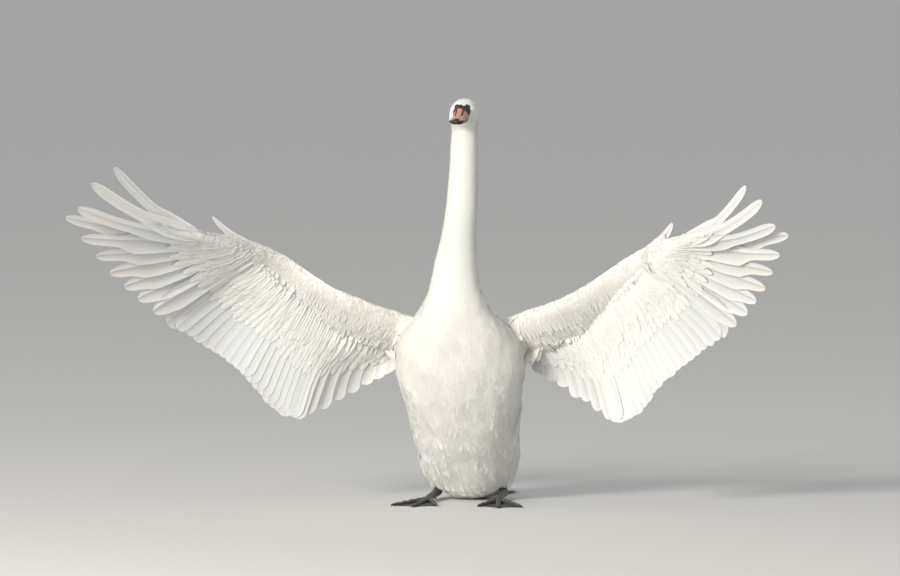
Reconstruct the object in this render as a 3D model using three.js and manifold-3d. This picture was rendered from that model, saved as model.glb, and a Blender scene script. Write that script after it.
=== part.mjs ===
// Mute swan, life size, rearing up with its wings spread, as a still museum model.
// Millimetres. +Z is up, the bird faces -Y, and its left side is +X. The origin is on the floor,
// at the middle of the flat of the belly that the bird sits on. Both sides are the same, but for
// the tips of the flight feathers, which the right wing holds a little higher.
import * as THREE from "three";
import { mergeVertices } from "three/addons/utils/BufferGeometryUtils.js";
import Module from "manifold-3d";

const wasm = await Module();
wasm.setup();

const GAP = 0.35; // clearance between neighbouring pieces
const SEAT = 88; // the sizes below are laid out about a point this far in front of the belly's flat
const v3 = (x, y, z) => new THREE.Vector3(x, y, z);

// How finely pieces are faceted: corners round a section, and stretches along a piece.
const CORNERS = { trunk: 20, neck: 16, head: 16, arm: 12, thigh: 12, shank: 9, toe: 6, bill: 9, jaw: 7 };
const STRETCHES = { trunk: 16, neck: 4, head: 12, bill: 9, jaw: 6 };
const WING_STRETCHES = { upperArm: 5, forearm: 5, hand: 3, alula: 7 };
const LEG_STRETCHES = { thigh: 6, shank: 6, toe: 4, hindToe: 3 };
const BALL = { around: 10, over: 7 };

// ---------------------------------------------------------------- driving sizes

// Tail root to neck top. Each row: y, z, half width, depth to the back, depth to the belly.
const BODY = [
  [172, 24, 30, 13, 14],
  [132, 44, 78, 34, 62],
  [92, 76, 113, 60, 98],
  [50, 116, 131, 88, 116],
  [6, 168, 136, 104, 120],
  [-38, 228, 144, 112, 127],
  [-82, 293, 157, 116, 130],
  [-124, 353, 168, 112, 126],
  [-160, 407, 158, 100, 114],
  [-187, 453, 128, 80, 94],
  [-203, 499, 94, 65, 76],
  [-206, 547, 69, 54, 60],
  [-190, 603, 57, 49, 51],
  [-152, 655, 49, 45, 46],
  [-112, 706, 44, 43, 43],
  [-82, 760, 42, 41, 41],
  [-62, 815, 40, 39, 39],
  [-51, 870, 38, 37, 37],
  [-41, 922, 37, 35, 36],
  [-34, 960, 34, 33, 33],
];
const BODY_POWER = 2.15; // 2 is an ellipse, more is squarer
const HEAD_POWER = 2.3;
const ARM_POWER = 1.9;
const NECK_ROW = 10; // the rows of BODY where the trunk ends and the neck is parted
const NECK_PARTS = [
  ["neck_lower", 10, 13],
  ["neck_middle", 13, 16],
  ["neck_upper", 16, 19],
];

// The head has its own frame at the back of the skull, tipped down.
// Rows: forward, up, half width, above, below.
const HEAD_AT = v3(0, -10, 993);
const HEAD_PITCH = THREE.MathUtils.degToRad(8.5);
const HEAD = [
  [-4, -10, 8, 8, 8],
  [4, -13, 22, 22, 21],
  [18, -18, 32, 39, 28],
  [36, -23, 37.5, 48, 27],
  [54, -25, 38, 49, 26],
  [68, -22, 33, 42, 26],
  [78, -17, 27, 32, 25],
  [88, -12, 22.5, 25, 21],
  [98, -8, 19.5, 18, 16],
  [106, -6, 17, 14, 13],
];
const EYE = { forward: 74, side: 17.5, up: 9, radius: 6.5 };

// Bill, in the head's frame. Rows: forward, half width, height of the ridge over the cutting edge.
const BILL = [
  [90, 19.5, 26],
  [108, 18.5, 24],
  [124, 17.5, 18.5],
  [142, 17.5, 13.5],
  [160, 19, 10],
  [172, 18.5, 8],
  [181, 14, 6],
  [186, 6, 3.5],
];
const BILL_EDGE = { start: -15, end: -9 }; // height of the cutting edge at the base and at the tip
const BILL_ROUNDNESS = 0.8; // 1 is a half ellipse, less is squarer
const LOWER_BILL = { inset: 2.2, depth: 13, start: 90, end: 180, taper: 0.6, narrows: 0.85, least: 2 };
const KNOB = { forward: 102, up: 15, length: 12.5, width: 10.5, height: 8.5 };
const NAIL = { forward: 176, up: -7, length: 12, width: 8.5, height: 6.5 };

// Wing bones of the left wing.
const ELBOW = v3(305, -150, 458);
const WRIST = v3(487, -275, 640);
const HAND_TIP = v3(603, -455, 689);

// Flesh of the wing. Rows: leading edge, trailing edge, thickness.
const ARM = [
  [v3(70, -120, 455), v3(70, -35, 360), 70],
  [v3(150, -138, 487), v3(140, -60, 378), 60],
  [v3(228, -182, 515), v3(222, -100, 400), 48],
  [v3(304, -206, 550), v3(312, -128, 430), 40],
  [v3(372, -208, 596), v3(392, -168, 492), 34],
  [v3(436, -222, 640), v3(446, -208, 560), 30],
  [v3(496, -284, 668), v3(503, -268, 606), 26],
  [v3(552, -372, 690), v3(566, -352, 640), 19],
  [v3(604, -458, 704), v3(615, -446, 676), 10],
];
const ARM_BEND = 0.05; // share of a row over which the run of the leading edge is measured
const FOREARM_ROW = 3; // rows of ARM at the elbow and at the wrist
const HAND_ROW = 6;

// Flight feathers of the left wing.
// Primaries run from the wrist outward, secondaries from the wrist inward.
const PRIMARY_TIPS = [
  v3(727, -399, 473),
  v3(758, -437, 503),
  v3(786, -477, 535),
  v3(812, -525, 569),
  v3(836, -582, 611),
  v3(862, -645, 658),
  v3(888, -698, 712),
  v3(858, -712, 737),
  v3(825, -702, 797),
  v3(779, -641, 831),
];
const PRIMARY_NOTCH = [0.9, 0.88, 0.86, 0.84, 0.8, 0.74, 0.8, 0.6, 0.56]; // where two neighbours part
const PRIMARY_WIDTH = [62, 60]; // across the vane at the wrist and at the wing's end
const PRIMARY_BEND = v3(-4, 10, -28);
const PRIMARY_ROOTS = { start: 0.04, reach: 0.9 }; // shares of the way from the wrist to the hand's tip
const FINGER_WIDTH = [50, 30, 27]; // near the tip: first primary, sixth, tenth
const FINGER_STARTS = [0.4, 0.62]; // where a primary narrows to its finger
const FINGER_ROUND = 0.88; // where the finger's round tip starts
const SECONDARIES = 20; // in an outer and an inner half
const SECONDARY_TIPS = [
  v3(708, -364, 457),
  v3(612, -262, 384),
  v3(520, -226, 312),
  v3(452, -196, 232),
  v3(398, -176, 212),
];
const SECONDARY_ROOTS = { start: 0.02, reach: 0.98, aside: v3(8, 8, -22) };
const SECONDARY_NOTCH = 0.95;
const INNER_BEND = v3(10, 14, 0); // of secondaries and tertials
const TERTIALS = 7;
const TERTIAL_TIPS = [v3(396, -176, 212), v3(326, -96, 246), v3(250, -44, 288), v3(178, -62, 330)];
const TERTIAL_ROOTS = [v3(311, -142, 436), v3(230, -96, 408), v3(150, -66, 392)];
const TERTIAL_NOTCH = 0.92;
const ALULA = {
  root: v3(496, -290, 668),
  tip: v3(585, -352, 728),
  bend: v3(5, -2, -6),
  width: 18,
  thickness: 3,
  quill: 0.45, // share of its width at the root
  round: 0.82, // where its round tip starts
};
const VANE = 2.2; // thickness of a flight feather
const COVERTS = 0.45; // share of a flight feather that is thickened by its coverts
const PARTING = 0.015; // share of the way to the next feather that a parted row keeps clear on each side
const ROOT_THICKNESS = { primaries: 12, secondaries: 12, tertials: 16, tail: 14 };
// The right wing's tips are this much higher, and the left's this much lower.
const RISE = { primaries: 17, secondaries: 12 };

// Tail fan, laid on the floor.
const TAIL = {
  feathers: 12,
  root: v3(0, 160, 22),
  rootWidth: 56,
  length: 212,
  spread: 66,
  bend: v3(0, 0, -2),
  notch: 0.9,
  shorten: 0.22, // share by which the outermost feathers are shorter
  tip: 2.4, // height of the outermost tips
  lift: 6, // how much higher the middle tips are
};

// Legs. The feet lie flat in front of the belly.
const HOCK = v3(84, 66, 20);
const TOE_ROOT = v3(88, -52, 12);
const THIGH = [
  [v3(90, 10, 168), 38, 46],
  [v3(97, 30, 118), 40, 50],
  [v3(93, 56, 66), 29, 34],
  [v3(86, 68, 30), 14, 16],
];
const FOOT = { middle: 148, outer: 140, inner: 116, splay: 24, turn: 7, web: 3, claw: 13, heel: 8, ankle: 9 };
const WEB = { toe: 0.93, scallop: 0.82 }; // shares of the toes that the web reaches
// A toe from its root to its claw's tip: height over the floor and radius.
const TOE = { heights: [9, 6.5, 4.5, 2.5], radii: [8.5, 6.5, 5, 1.4], deepest: 6.5 };
const HEEL_BACK = v3(0, 12, 2);
const SHANK_RADII = [
  [9, 11],
  [12, 14],
  [8, 9],
  [9, 9],
];
const HIND_TOE = { from: 0.78, bends: [v3(-14, 8, -2), v3(-26, 14, -6)], radii: [4.5, 3.6, 1.4] };
const FLOOR = { size: 2400, depth: 200 };

// ---------------------------------------------------------------- shape helpers

// A uniform Catmull-Rom curve through rows of numbers.
function along(rows, t) {
  const last = rows.length - 1;
  const i = Math.min(Math.floor(t), last - 1);
  const f = t - i;
  const at = (k, c) => {
    if (k < 0) return 2 * rows[0][c] - rows[1][c];
    if (k > last) return 2 * rows[last][c] - rows[last - 1][c];
    return rows[k][c];
  };
  return rows[0].map((_, c) => {
    const [a, b, d, e] = [at(i - 1, c), at(i, c), at(i + 1, c), at(i + 2, c)];
    const slope = (d - a) / 2;
    const next = (e - b) / 2;
    const cubic = 2 * b - 2 * d + slope + next;
    const square = -3 * b + 3 * d - 2 * slope - next;
    return ((cubic * f + square) * f + slope) * f + b;
  });
}

// A point on the curve through vectors, for t from 0 to 1.
function onCurve(points, t) {
  const rows = points.map((p) => p.toArray());
  return v3(...along(rows, t * (rows.length - 1)));
}

const middleOf = (points) => points.reduce((sum, p) => sum.add(p), v3(0, 0, 0)).divideScalar(points.length);

// Rings of equally many points joined into one closed skin, with a fan over each end.
// The ends move out by grow. The quads are split the other way on the far half of a ring,
// so that a mirrored body has mirrored triangles.
function skin(rings, grow = 0) {
  const sides = rings[0].length;
  const start = middleOf(rings[0]).sub(middleOf(rings[1])).setLength(grow);
  const end = middleOf(rings.at(-1)).sub(middleOf(rings.at(-2))).setLength(grow);
  rings[0].forEach((p) => p.add(start));
  rings.at(-1).forEach((p) => p.add(end));
  const points = rings.flat();
  const index = [];
  rings.slice(1).forEach((_, r) => {
    for (let k = 0; k < sides; k++) {
      const a = r * sides + k;
      const b = r * sides + ((k + 1) % sides);
      const leftHalf = Math.cos((2 * Math.PI * (k + 0.5)) / sides) < 0;
      if (leftHalf) index.push(a, b, b + sides, a, b + sides, a + sides);
      else index.push(a, b, a + sides, b, b + sides, a + sides);
    }
  });
  [0, rings.length - 1].forEach((r) => {
    const centre = points.length;
    points.push(middleOf(rings[r]));
    for (let k = 0; k < sides; k++) {
      const a = r * sides + k;
      const b = r * sides + ((k + 1) % sides);
      if (r === 0) index.push(centre, b, a);
      else index.push(centre, a, b);
    }
  });
  const geometry = new THREE.BufferGeometry().setFromPoints(points);
  geometry.setIndex(index);
  return geometry;
}

// A closed mesh as a solid, turned face out if its rings ran the other way.
function solid(geometry) {
  const bare = new THREE.BufferGeometry().setAttribute("position", geometry.getAttribute("position"));
  bare.setIndex(geometry.index);
  const merged = mergeVertices(bare, 1e-3);
  const p = merged.attributes.position;
  const corners = new Uint32Array(merged.index.array);
  let volume = 0;
  for (let i = 0; i < corners.length; i += 3) {
    const [a, b, c] = [0, 1, 2].map((k) => v3().fromBufferAttribute(p, corners[i + k]));
    volume += a.dot(b.cross(c));
  }
  if (volume < 0) {
    for (let i = 0; i < corners.length; i += 3) [corners[i], corners[i + 1]] = [corners[i + 1], corners[i]];
  }
  return new wasm.Manifold(new wasm.Mesh({ numProp: 3, vertProperties: p.array, triVerts: corners }));
}

const join = (solids) => solids.reduce((all, next) => all.add(next));
const largest = (made) => made.decompose().reduce((a, b) => (b.volume() > a.volume() ? b : a));
const cut = (made, ...tools) => largest(tools.reduce((left, tool) => left.subtract(tool), made));

// A ring round a centre: right and up are unit vectors; above and below may differ.
function ring(centre, right, up, width, above, below, sides, power = 2) {
  return Array.from({ length: sides }, (_, k) => {
    const angle = (2 * Math.PI * k) / sides;
    const [c, s] = [Math.cos(angle), Math.sin(angle)];
    const x = Math.sign(c) * Math.abs(c) ** (2 / power) * width;
    const y = Math.sign(s) * Math.abs(s) ** (2 / power) * (s > 0 ? above : below);
    return centre.clone().addScaledVector(right, x).addScaledVector(up, y);
  });
}

// A long body lofted along a bent line through centres, with a radius at each.
function limb(centres, radii, sides, steps, grow = 0) {
  const curve = new THREE.CatmullRomCurve3(centres, false, "centripetal");
  const rings = Array.from({ length: steps + 1 }, (_, i) => {
    const t = i / steps;
    const [wide, deep] = along(radii, t * (radii.length - 1));
    const tangent = curve.getTangent(t);
    const right = v3(1, 0, 0).addScaledVector(tangent, -tangent.x).normalize();
    const up = right.clone().cross(tangent);
    return ring(curve.getPoint(t), right, up, wide + grow, deep + grow, deep + grow, sides);
  });
  return solid(skin(rings, grow));
}

// A bent quadratic line from root to tip, pulled aside by bend at its middle.
function feathLine(root, tip, bend, t) {
  const middle = root.clone().add(tip).multiplyScalar(0.5).addScaledVector(bend, 2);
  const a = root.clone().lerp(middle, t);
  return a.lerp(middle.clone().lerp(tip, t), t);
}

// Share of a feather's width left at t, where its round tip starts at start.
const roundTip = (t, start) => Math.sqrt(Math.max(0.03, 1 - Math.max(0, (t - start) / (1 - start)) ** 2));

// Outlines that share edges, made into one closed plate.
// Each corner has a place and a thickness along face.
function plate(outlines, face) {
  const right = v3(1, 0, 0).addScaledVector(face, -face.x).normalize();
  const ahead = face.clone().cross(right);
  const corners = new Map();
  const cornerOf = ({ at, thick }) => {
    const key = at.toArray().map((n) => n.toFixed(2)).join();
    if (!corners.has(key)) corners.set(key, { number: corners.size, at, thick });
    return corners.get(key).number;
  };
  const flats = outlines.map((outline) => {
    const loop = outline.map((corner) => new THREE.Vector2(corner.at.dot(right), corner.at.dot(ahead)));
    const turned = THREE.ShapeUtils.isClockWise(loop);
    const facing = turned ? outline.toReversed() : outline;
    const flat = turned ? loop.toReversed() : loop;
    return { numbers: facing.map(cornerOf), triangles: THREE.ShapeUtils.triangulateShape(flat, []) };
  });
  const count = corners.size;
  const edgesOf = ({ numbers }) => numbers.map((n, i) => [n, numbers[(i + 1) % numbers.length]]);
  const edges = flats.flatMap(edgesOf);
  const known = new Set(edges.map(([a, b]) => `${a} ${b}`));
  const index = [];
  flats.forEach(({ numbers, triangles }) => {
    triangles.forEach((triangle) => {
      const [a, b, c] = triangle.map((k) => numbers[k]);
      index.push(a, b, c, c + count, b + count, a + count);
    });
  });
  edges.forEach(([a, b]) => {
    if (!known.has(`${b} ${a}`)) index.push(b, a, a + count, b, a + count, b + count);
  });
  const list = [...corners.values()];
  const side = (sign) => list.map(({ at, thick }) => at.clone().addScaledVector(face, (sign * thick) / 2));
  const geometry = new THREE.BufferGeometry().setFromPoints([...side(1), ...side(-1)]);
  geometry.setIndex(index);
  return solid(geometry);
}

// Neighbouring feathers as one plate, parted at their tips by notches.
// Each feather is a line from root to tip. A feather with a half width keeps it past its notch,
// as a finger; without one its tip is a half ellipse. Only the feathers from first up to end are made.
function fan(feathers, notches, face, rootThickness, first = 0, end = feathers.length) {
  const last = feathers.length - 1;
  const thickAt = (t) => THREE.MathUtils.lerp(rootThickness, VANE, Math.min(1, t / COVERTS));
  const corner = (at, t) => ({ at, thick: thickAt(t) });
  const halfway = (i, j, t, share) => feathers[i].line(t).lerp(feathers[j].line(t), share);
  const seam = (i, t) => {
    if (i < 0) return halfway(0, 1, t, -0.5);
    if (i === last) return halfway(last, last - 1, t, -0.5);
    if (i === end - 1) return halfway(i, i + 1, t, 0.5 - PARTING);
    if (i === first - 1) return halfway(i, i + 1, t, 0.5 + PARTING);
    return halfway(i, i + 1, t, 0.5);
  };
  const notchOf = (i) => notches[Math.min(Math.max(i, 0), notches.length - 1)];
  const seamCorners = (i) => [0, COVERTS, notchOf(i)].map((t) => corner(seam(i, t), t));
  const tipCorners = (i, outer) => {
    const [line, notch] = [feathers[i].line, notchOf(outer)];
    const away = seam(outer, notch).sub(line(notch));
    const shares = feathers[i].half ? [0.45, 0.8] : [0.6];
    return shares.map((f) => {
      const t = notch + (1 - notch) * f;
      if (feathers[i].half) return corner(line(t).addScaledVector(away.normalize(), feathers[i].half(t)), t);
      const rest = line(1).sub(line(notch));
      const round = line(notch).addScaledVector(rest, Math.sin((f * Math.PI) / 2));
      return corner(round.addScaledVector(away, Math.cos((f * Math.PI) / 2)), t);
    });
  };
  const outlines = feathers.map((feather, i) => {
    const near = [...seamCorners(i - 1), ...tipCorners(i, i - 1)];
    const far = [...seamCorners(i), ...tipCorners(i, i)];
    return [...near, corner(feather.line(1), 1), ...far.toReversed()];
  });
  return plate(outlines.slice(first, end), face);
}

// ---------------------------------------------------------------- trunk and neck

function bodyRing(t, grow, sides) {
  const [y, z, wide, back, belly] = along(BODY, t);
  const step = 0.02;
  const [y1, z1] = along(BODY, Math.min(BODY.length - 1, t + step));
  const [y0, z0] = along(BODY, Math.max(0, t - step));
  const up = v3(0, z1 - z0, y0 - y1).normalize();
  return ring(v3(0, y, z), v3(1, 0, 0), up, wide + grow, back + grow, belly + grow, sides, BODY_POWER);
}

// The stretch of the body between two rows, with flat ends.
function bodyPiece(from, to, rings, sides, grow = 0) {
  const rows = Array.from({ length: rings + 1 }, (_, i) => from + ((to - from) * i) / rings);
  const made = rows.map((row) => bodyRing(row, grow, sides));
  return solid(skin(made, grow));
}

// ---------------------------------------------------------------- head and bill

const headForward = v3(0, -Math.cos(HEAD_PITCH), -Math.sin(HEAD_PITCH));
const headUp = v3(0, -Math.sin(HEAD_PITCH), Math.cos(HEAD_PITCH));
const inHead = (forward, side, up) =>
  HEAD_AT.clone().addScaledVector(headForward, forward).addScaledVector(headUp, up).add(v3(side, 0, 0));

function headSolid(grow = 0) {
  const steps = STRETCHES.head;
  const rings = Array.from({ length: steps + 1 }, (_, i) => {
    const [forward, up, ...sizes] = along(HEAD, (i / steps) * (HEAD.length - 1));
    const grown = sizes.map((size) => size + grow);
    return ring(inHead(forward, 0, up), v3(1, 0, 0), headUp, ...grown, CORNERS.head, HEAD_POWER);
  });
  return solid(skin(rings, grow));
}

function ellipsoid({ forward, side = 0, up, length, width, height }, grow = 0) {
  const at = inHead(forward, side, up);
  const made = new THREE.SphereGeometry(1, BALL.around, BALL.over);
  made.scale(width + grow, length + grow, height + grow);
  made.rotateX(HEAD_PITCH);
  made.translate(at.x, at.y, at.z);
  return solid(made);
}

const billShare = (forward) => (forward - BILL[0][0]) / (BILL.at(-1)[0] - BILL[0][0]);
const billEdge = (forward) => THREE.MathUtils.lerp(BILL_EDGE.start, BILL_EDGE.end, billShare(forward));

// The upper bill: a half-round ridge over a flat cutting edge.
function upperBill(grow = 0) {
  const steps = STRETCHES.bill;
  const rings = Array.from({ length: steps + 1 }, (_, i) => {
    const [forward, wide, high] = along(BILL, (i / steps) * (BILL.length - 1));
    const edge = billEdge(forward);
    return Array.from({ length: CORNERS.bill }, (_, k) => {
      const angle = (Math.PI * k) / (CORNERS.bill - 1);
      const side = Math.cos(angle) * (wide + grow);
      const up = Math.sin(angle) ** BILL_ROUNDNESS * (high + 2 * grow) + edge - grow;
      return inHead(forward, side, up);
    });
  });
  return solid(skin(rings, grow));
}

function lowerBill(grow = 0) {
  const steps = STRETCHES.jaw;
  const rings = Array.from({ length: steps + 1 }, (_, i) => {
    const forward = THREE.MathUtils.lerp(LOWER_BILL.start, LOWER_BILL.end, i / steps);
    const share = billShare(forward);
    const [, wide] = along(BILL, nearestRow(forward));
    const narrowed = 1 - Math.max(0, share - LOWER_BILL.narrows) * 3;
    const half = Math.max(LOWER_BILL.least, (wide - LOWER_BILL.inset) * narrowed) + grow;
    const deep = LOWER_BILL.depth * (1 - LOWER_BILL.taper * share) + 2 * grow;
    return Array.from({ length: CORNERS.jaw }, (_, k) => {
      const angle = Math.PI + (Math.PI * k) / (CORNERS.jaw - 1);
      return inHead(forward, Math.cos(angle) * half, Math.sin(angle) * deep + billEdge(forward) - GAP + grow);
    });
  });
  return solid(skin(rings, grow));
}

// The row of BILL, as a fraction, at a distance forward.
function nearestRow(forward) {
  const next = BILL.findIndex(([f]) => f > forward);
  if (next < 1) return next === 0 ? 0 : BILL.length - 1;
  const [before, after] = [BILL[next - 1][0], BILL[next][0]];
  return next - 1 + (forward - before) / (after - before);
}

// ---------------------------------------------------------------- wings (left side; the right is its mirror)

function armPiece(from, to, rings, grow = 0) {
  const rows = ARM.map(([lead, trail, thick]) => [...lead.toArray(), ...trail.toArray(), thick]);
  const made = Array.from({ length: rings + 1 }, (_, i) => {
    const t = from + ((to - from) * i) / rings;
    const row = along(rows, t);
    const lead = v3(...row.slice(0, 3));
    const trail = v3(...row.slice(3, 6));
    const thick = row[6];
    const chord = trail.clone().sub(lead);
    const length = chord.length();
    chord.normalize();
    const ahead = along(rows, Math.min(ARM.length - 1, t + ARM_BEND));
    const behind = along(rows, Math.max(0, t - ARM_BEND));
    const span = v3(...ahead.slice(0, 3)).sub(v3(...behind.slice(0, 3))).normalize();
    const up = chord.clone().cross(span).normalize();
    const half = thick / 2 + grow;
    return ring(lead.lerp(trail, 0.5), chord, up, length / 2 + grow, half, half, CORNERS.arm, ARM_POWER);
  });
  return solid(skin(made, grow));
}

// Upper side of the hand and of the arm, which their feathers face.
const HAND_FACE = v3(0.51, 0.8, 0.26).normalize();
const ARM_FACE = v3(0.12, 0.98, 0.14).normalize();

// rise is 1 for the right wing, whose tips are higher, and -1 for the left.
function primaries(rise) {
  const last = PRIMARY_TIPS.length - 1;
  const feathers = PRIMARY_TIPS.map((tip, i) => {
    const share = i / last;
    const root = WRIST.clone().lerp(HAND_TIP, PRIMARY_ROOTS.start + PRIMARY_ROOTS.reach * share);
    const finger = Math.max(0, share - 0.5) * 2;
    const bend = PRIMARY_BEND.clone().multiplyScalar(0.15 + finger);
    const end = tip.clone().add(v3(0, 0, rise * RISE.primaries));
    const base = THREE.MathUtils.lerp(...PRIMARY_WIDTH, share) / 2;
    const narrow = along(FINGER_WIDTH.map((w) => [w]), 2 * share)[0] / 2;
    const half = (t) => {
      const vane = THREE.MathUtils.lerp(base, narrow, THREE.MathUtils.smoothstep(t, ...FINGER_STARTS));
      return vane * roundTip(t, FINGER_ROUND);
    };
    return { line: (t) => feathLine(root, end, bend, t), half };
  });
  return fan(feathers, PRIMARY_NOTCH, HAND_FACE, ROOT_THICKNESS.primaries);
}

// A row of feathers between a line of roots and a line of tips.
function feathRow(count, rootAt, tipAt, bend, notch, face, rootThickness, ...range) {
  const feathers = Array.from({ length: count }, (_, i) => {
    const share = (i + 0.5) / count;
    return { line: (t) => feathLine(rootAt(share), tipAt(share), bend, t) };
  });
  return fan(feathers, [notch], face, rootThickness, ...range);
}

const secondaries = (rise, ...range) =>
  feathRow(
    SECONDARIES,
    (s) => {
      const share = SECONDARY_ROOTS.start + SECONDARY_ROOTS.reach * s;
      return WRIST.clone().lerp(ELBOW, share).add(SECONDARY_ROOTS.aside);
    },
    (s) => onCurve(SECONDARY_TIPS, s).add(v3(0, 0, rise * RISE.secondaries * (1 - s))),
    INNER_BEND,
    SECONDARY_NOTCH,
    ARM_FACE,
    ROOT_THICKNESS.secondaries,
    ...range,
  );

const tertials = () =>
  feathRow(
    TERTIALS,
    (s) => onCurve(TERTIAL_ROOTS, s),
    (s) => onCurve(TERTIAL_TIPS, s),
    INNER_BEND,
    TERTIAL_NOTCH,
    ARM_FACE,
    ROOT_THICKNESS.tertials,
  );

// The alula, a lone feather on the thumb: narrow at the quill and round at the tip.
function alula() {
  const steps = WING_STRETCHES.alula;
  const onLine = (t) => feathLine(ALULA.root, ALULA.tip, ALULA.bend, THREE.MathUtils.clamp(t, 0, 1));
  const rings = Array.from({ length: steps + 1 }, (_, i) => {
    const t = i / steps;
    const run = onLine(t + 0.02).sub(onLine(t - 0.02)).normalize();
    const side = HAND_FACE.clone().cross(run).normalize();
    const up = run.clone().cross(side).multiplyScalar(ALULA.thickness / 2);
    const half = (ALULA.width / 2) * Math.min(1, ALULA.quill + 3 * t) * roundTip(t, ALULA.round);
    const left = onLine(t).addScaledVector(side, -half);
    const right = onLine(t).addScaledVector(side, half);
    const above = [left, right].map((p) => p.clone().add(up));
    return [...above, right.sub(up), left.sub(up)];
  });
  return solid(skin(rings));
}

// ---------------------------------------------------------------- tail, legs

const tail = () => {
  const headingAt = (share) => {
    const angle = THREE.MathUtils.degToRad(TAIL.spread * (share - 0.5));
    return v3(Math.sin(angle), Math.cos(angle), 0);
  };
  const outward = (share) => (2 * share - 1) ** 2;
  return feathRow(
    TAIL.feathers,
    (s) => TAIL.root.clone().add(v3(TAIL.rootWidth * (s - 0.5), 0, 0)),
    (s) => {
      const reach = TAIL.length * (1 - TAIL.shorten * outward(s));
      const tip = TAIL.root.clone().addScaledVector(headingAt(s), reach);
      return tip.setZ(TAIL.tip + TAIL.lift * (1 - outward(s)));
    },
    TAIL.bend,
    TAIL.notch,
    v3(0, 0, 1),
    ROOT_THICKNESS.tail,
  );
};

// The web of a foot: a flat fan between the toes, scalloped at its front.
function foot() {
  const toes = [
    [-FOOT.splay, FOOT.inner],
    [0, FOOT.middle],
    [FOOT.splay, FOOT.outer],
  ];
  const turn = (degrees) => THREE.MathUtils.degToRad(degrees + FOOT.turn);
  const heading = (degrees) => v3(Math.sin(turn(degrees)), -Math.cos(turn(degrees)), 0);
  const at = v3(TOE_ROOT.x, TOE_ROOT.y, 0);
  const tipOf = ([angle, length]) => at.clone().addScaledVector(heading(angle), length);
  const edge = (angle, reach) => at.clone().addScaledVector(heading(angle), reach);
  const outline = [edge(-90, FOOT.ankle), edge(180, FOOT.heel), edge(90, FOOT.ankle)];
  toes.toReversed().forEach(([angle, length], i) => {
    outline.push(edge(angle, length * WEB.toe));
    const next = toes.toReversed()[i + 1];
    if (next) outline.push(edge((angle + next[0]) / 2, Math.min(length, next[1]) * WEB.scallop));
  });
  const shape = new THREE.Shape(outline.map((p) => new THREE.Vector2(p.x, p.y)));
  const web = solid(new THREE.ExtrudeGeometry(shape, { depth: FOOT.web, bevelEnabled: false, steps: 1 }));
  const bones = toes.map((toe) => {
    const tip = tipOf(toe);
    const claw = tip.clone().addScaledVector(heading(toe[0]), FOOT.claw);
    const line = [at, at.clone().lerp(tip, 0.5), tip, claw].map((p, i) => p.clone().setZ(TOE.heights[i]));
    const radii = TOE.radii.map((r) => [r, Math.min(r, TOE.deepest)]);
    return limb(line, radii, CORNERS.toe, LEG_STRETCHES.toe);
  });
  return join([web, ...bones]).subtract(floorBlock());
}

function floorBlock() {
  return solid(new THREE.BoxGeometry(FLOOR.size, FLOOR.size, FLOOR.depth).translate(0, 0, -FLOOR.depth / 2));
}

function hindToe(grow) {
  const root = HOCK.clone().lerp(TOE_ROOT, HIND_TOE.from);
  const line = [root, ...HIND_TOE.bends.map((bend) => root.clone().add(bend))];
  return limb(line, HIND_TOE.radii.map((r) => [r, r]), CORNERS.toe, LEG_STRETCHES.hindToe, grow);
}

function tarsus(grow = 0) {
  const line = [HOCK.clone().add(HEEL_BACK), HOCK, HOCK.clone().lerp(TOE_ROOT, 0.5), TOE_ROOT];
  const shank = limb(line, SHANK_RADII, CORNERS.shank, LEG_STRETCHES.shank, grow);
  return join([shank, hindToe(grow)]).subtract(floorBlock());
}

function thigh() {
  const radii = THIGH.map(([, wide, deep]) => [wide, deep]);
  return limb(THIGH.map(([at]) => at), radii, CORNERS.thigh, LEG_STRETCHES.thigh);
}

// ---------------------------------------------------------------- assembly

const WHITE = { color: 0xf4f2ec, roughness: 0.85, metalness: 0 };
const finishes = {
  plumage: new THREE.MeshStandardMaterial(WHITE),
  vane: new THREE.MeshStandardMaterial({ ...WHITE, color: 0xf1f1ee, roughness: 0.6 }),
  bill: new THREE.MeshStandardMaterial({ color: 0xd9714a, roughness: 0.45, metalness: 0 }),
  black: new THREE.MeshStandardMaterial({ color: 0x141313, roughness: 0.5, metalness: 0 }),
  eye: new THREE.MeshStandardMaterial({ color: 0x1b0f08, roughness: 0.08, metalness: 0 }),
  leg: new THREE.MeshStandardMaterial({ color: 0x26272a, roughness: 0.55, metalness: 0 }),
};

const swan = new THREE.Group();

function geometryOf(made) {
  const { numProp, numVert, vertProperties, triVerts } = made.getMesh();
  const positions = new Float32Array(numVert * 3);
  for (let i = 0; i < numVert; i++) {
    const first = i * numProp;
    positions.set(vertProperties.subarray(first, first + 3), i * 3);
  }
  const geometry = new THREE.BufferGeometry();
  geometry.setAttribute("position", new THREE.BufferAttribute(positions, 3));
  geometry.setIndex(new THREE.BufferAttribute(triVerts, 1));
  return geometry;
}

function place(name, made, finish) {
  const mesh = new THREE.Mesh(geometryOf(made), finishes[finish]);
  mesh.name = name;
  mesh.position.y = -SEAT;
  swan.add(mesh);
}

// The same piece on the left and, mirrored, on the right.
function placePair(name, made, finish) {
  const geometry = geometryOf(made);
  for (const side of ["left", "right"]) {
    const mesh = new THREE.Mesh(geometry, finishes[finish]);
    mesh.name = `${name}_${side}`;
    mesh.scale.x = side === "left" ? 1 : -1;
    mesh.position.y = -SEAT;
    swan.add(mesh);
  }
}

const floor = floorBlock();
const mirror = (made) => {
  const geometry = geometryOf(made);
  geometry.scale(-1, 1, 1);
  return solid(geometry);
};
const bothSides = (made) => made.add(mirror(made));

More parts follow.
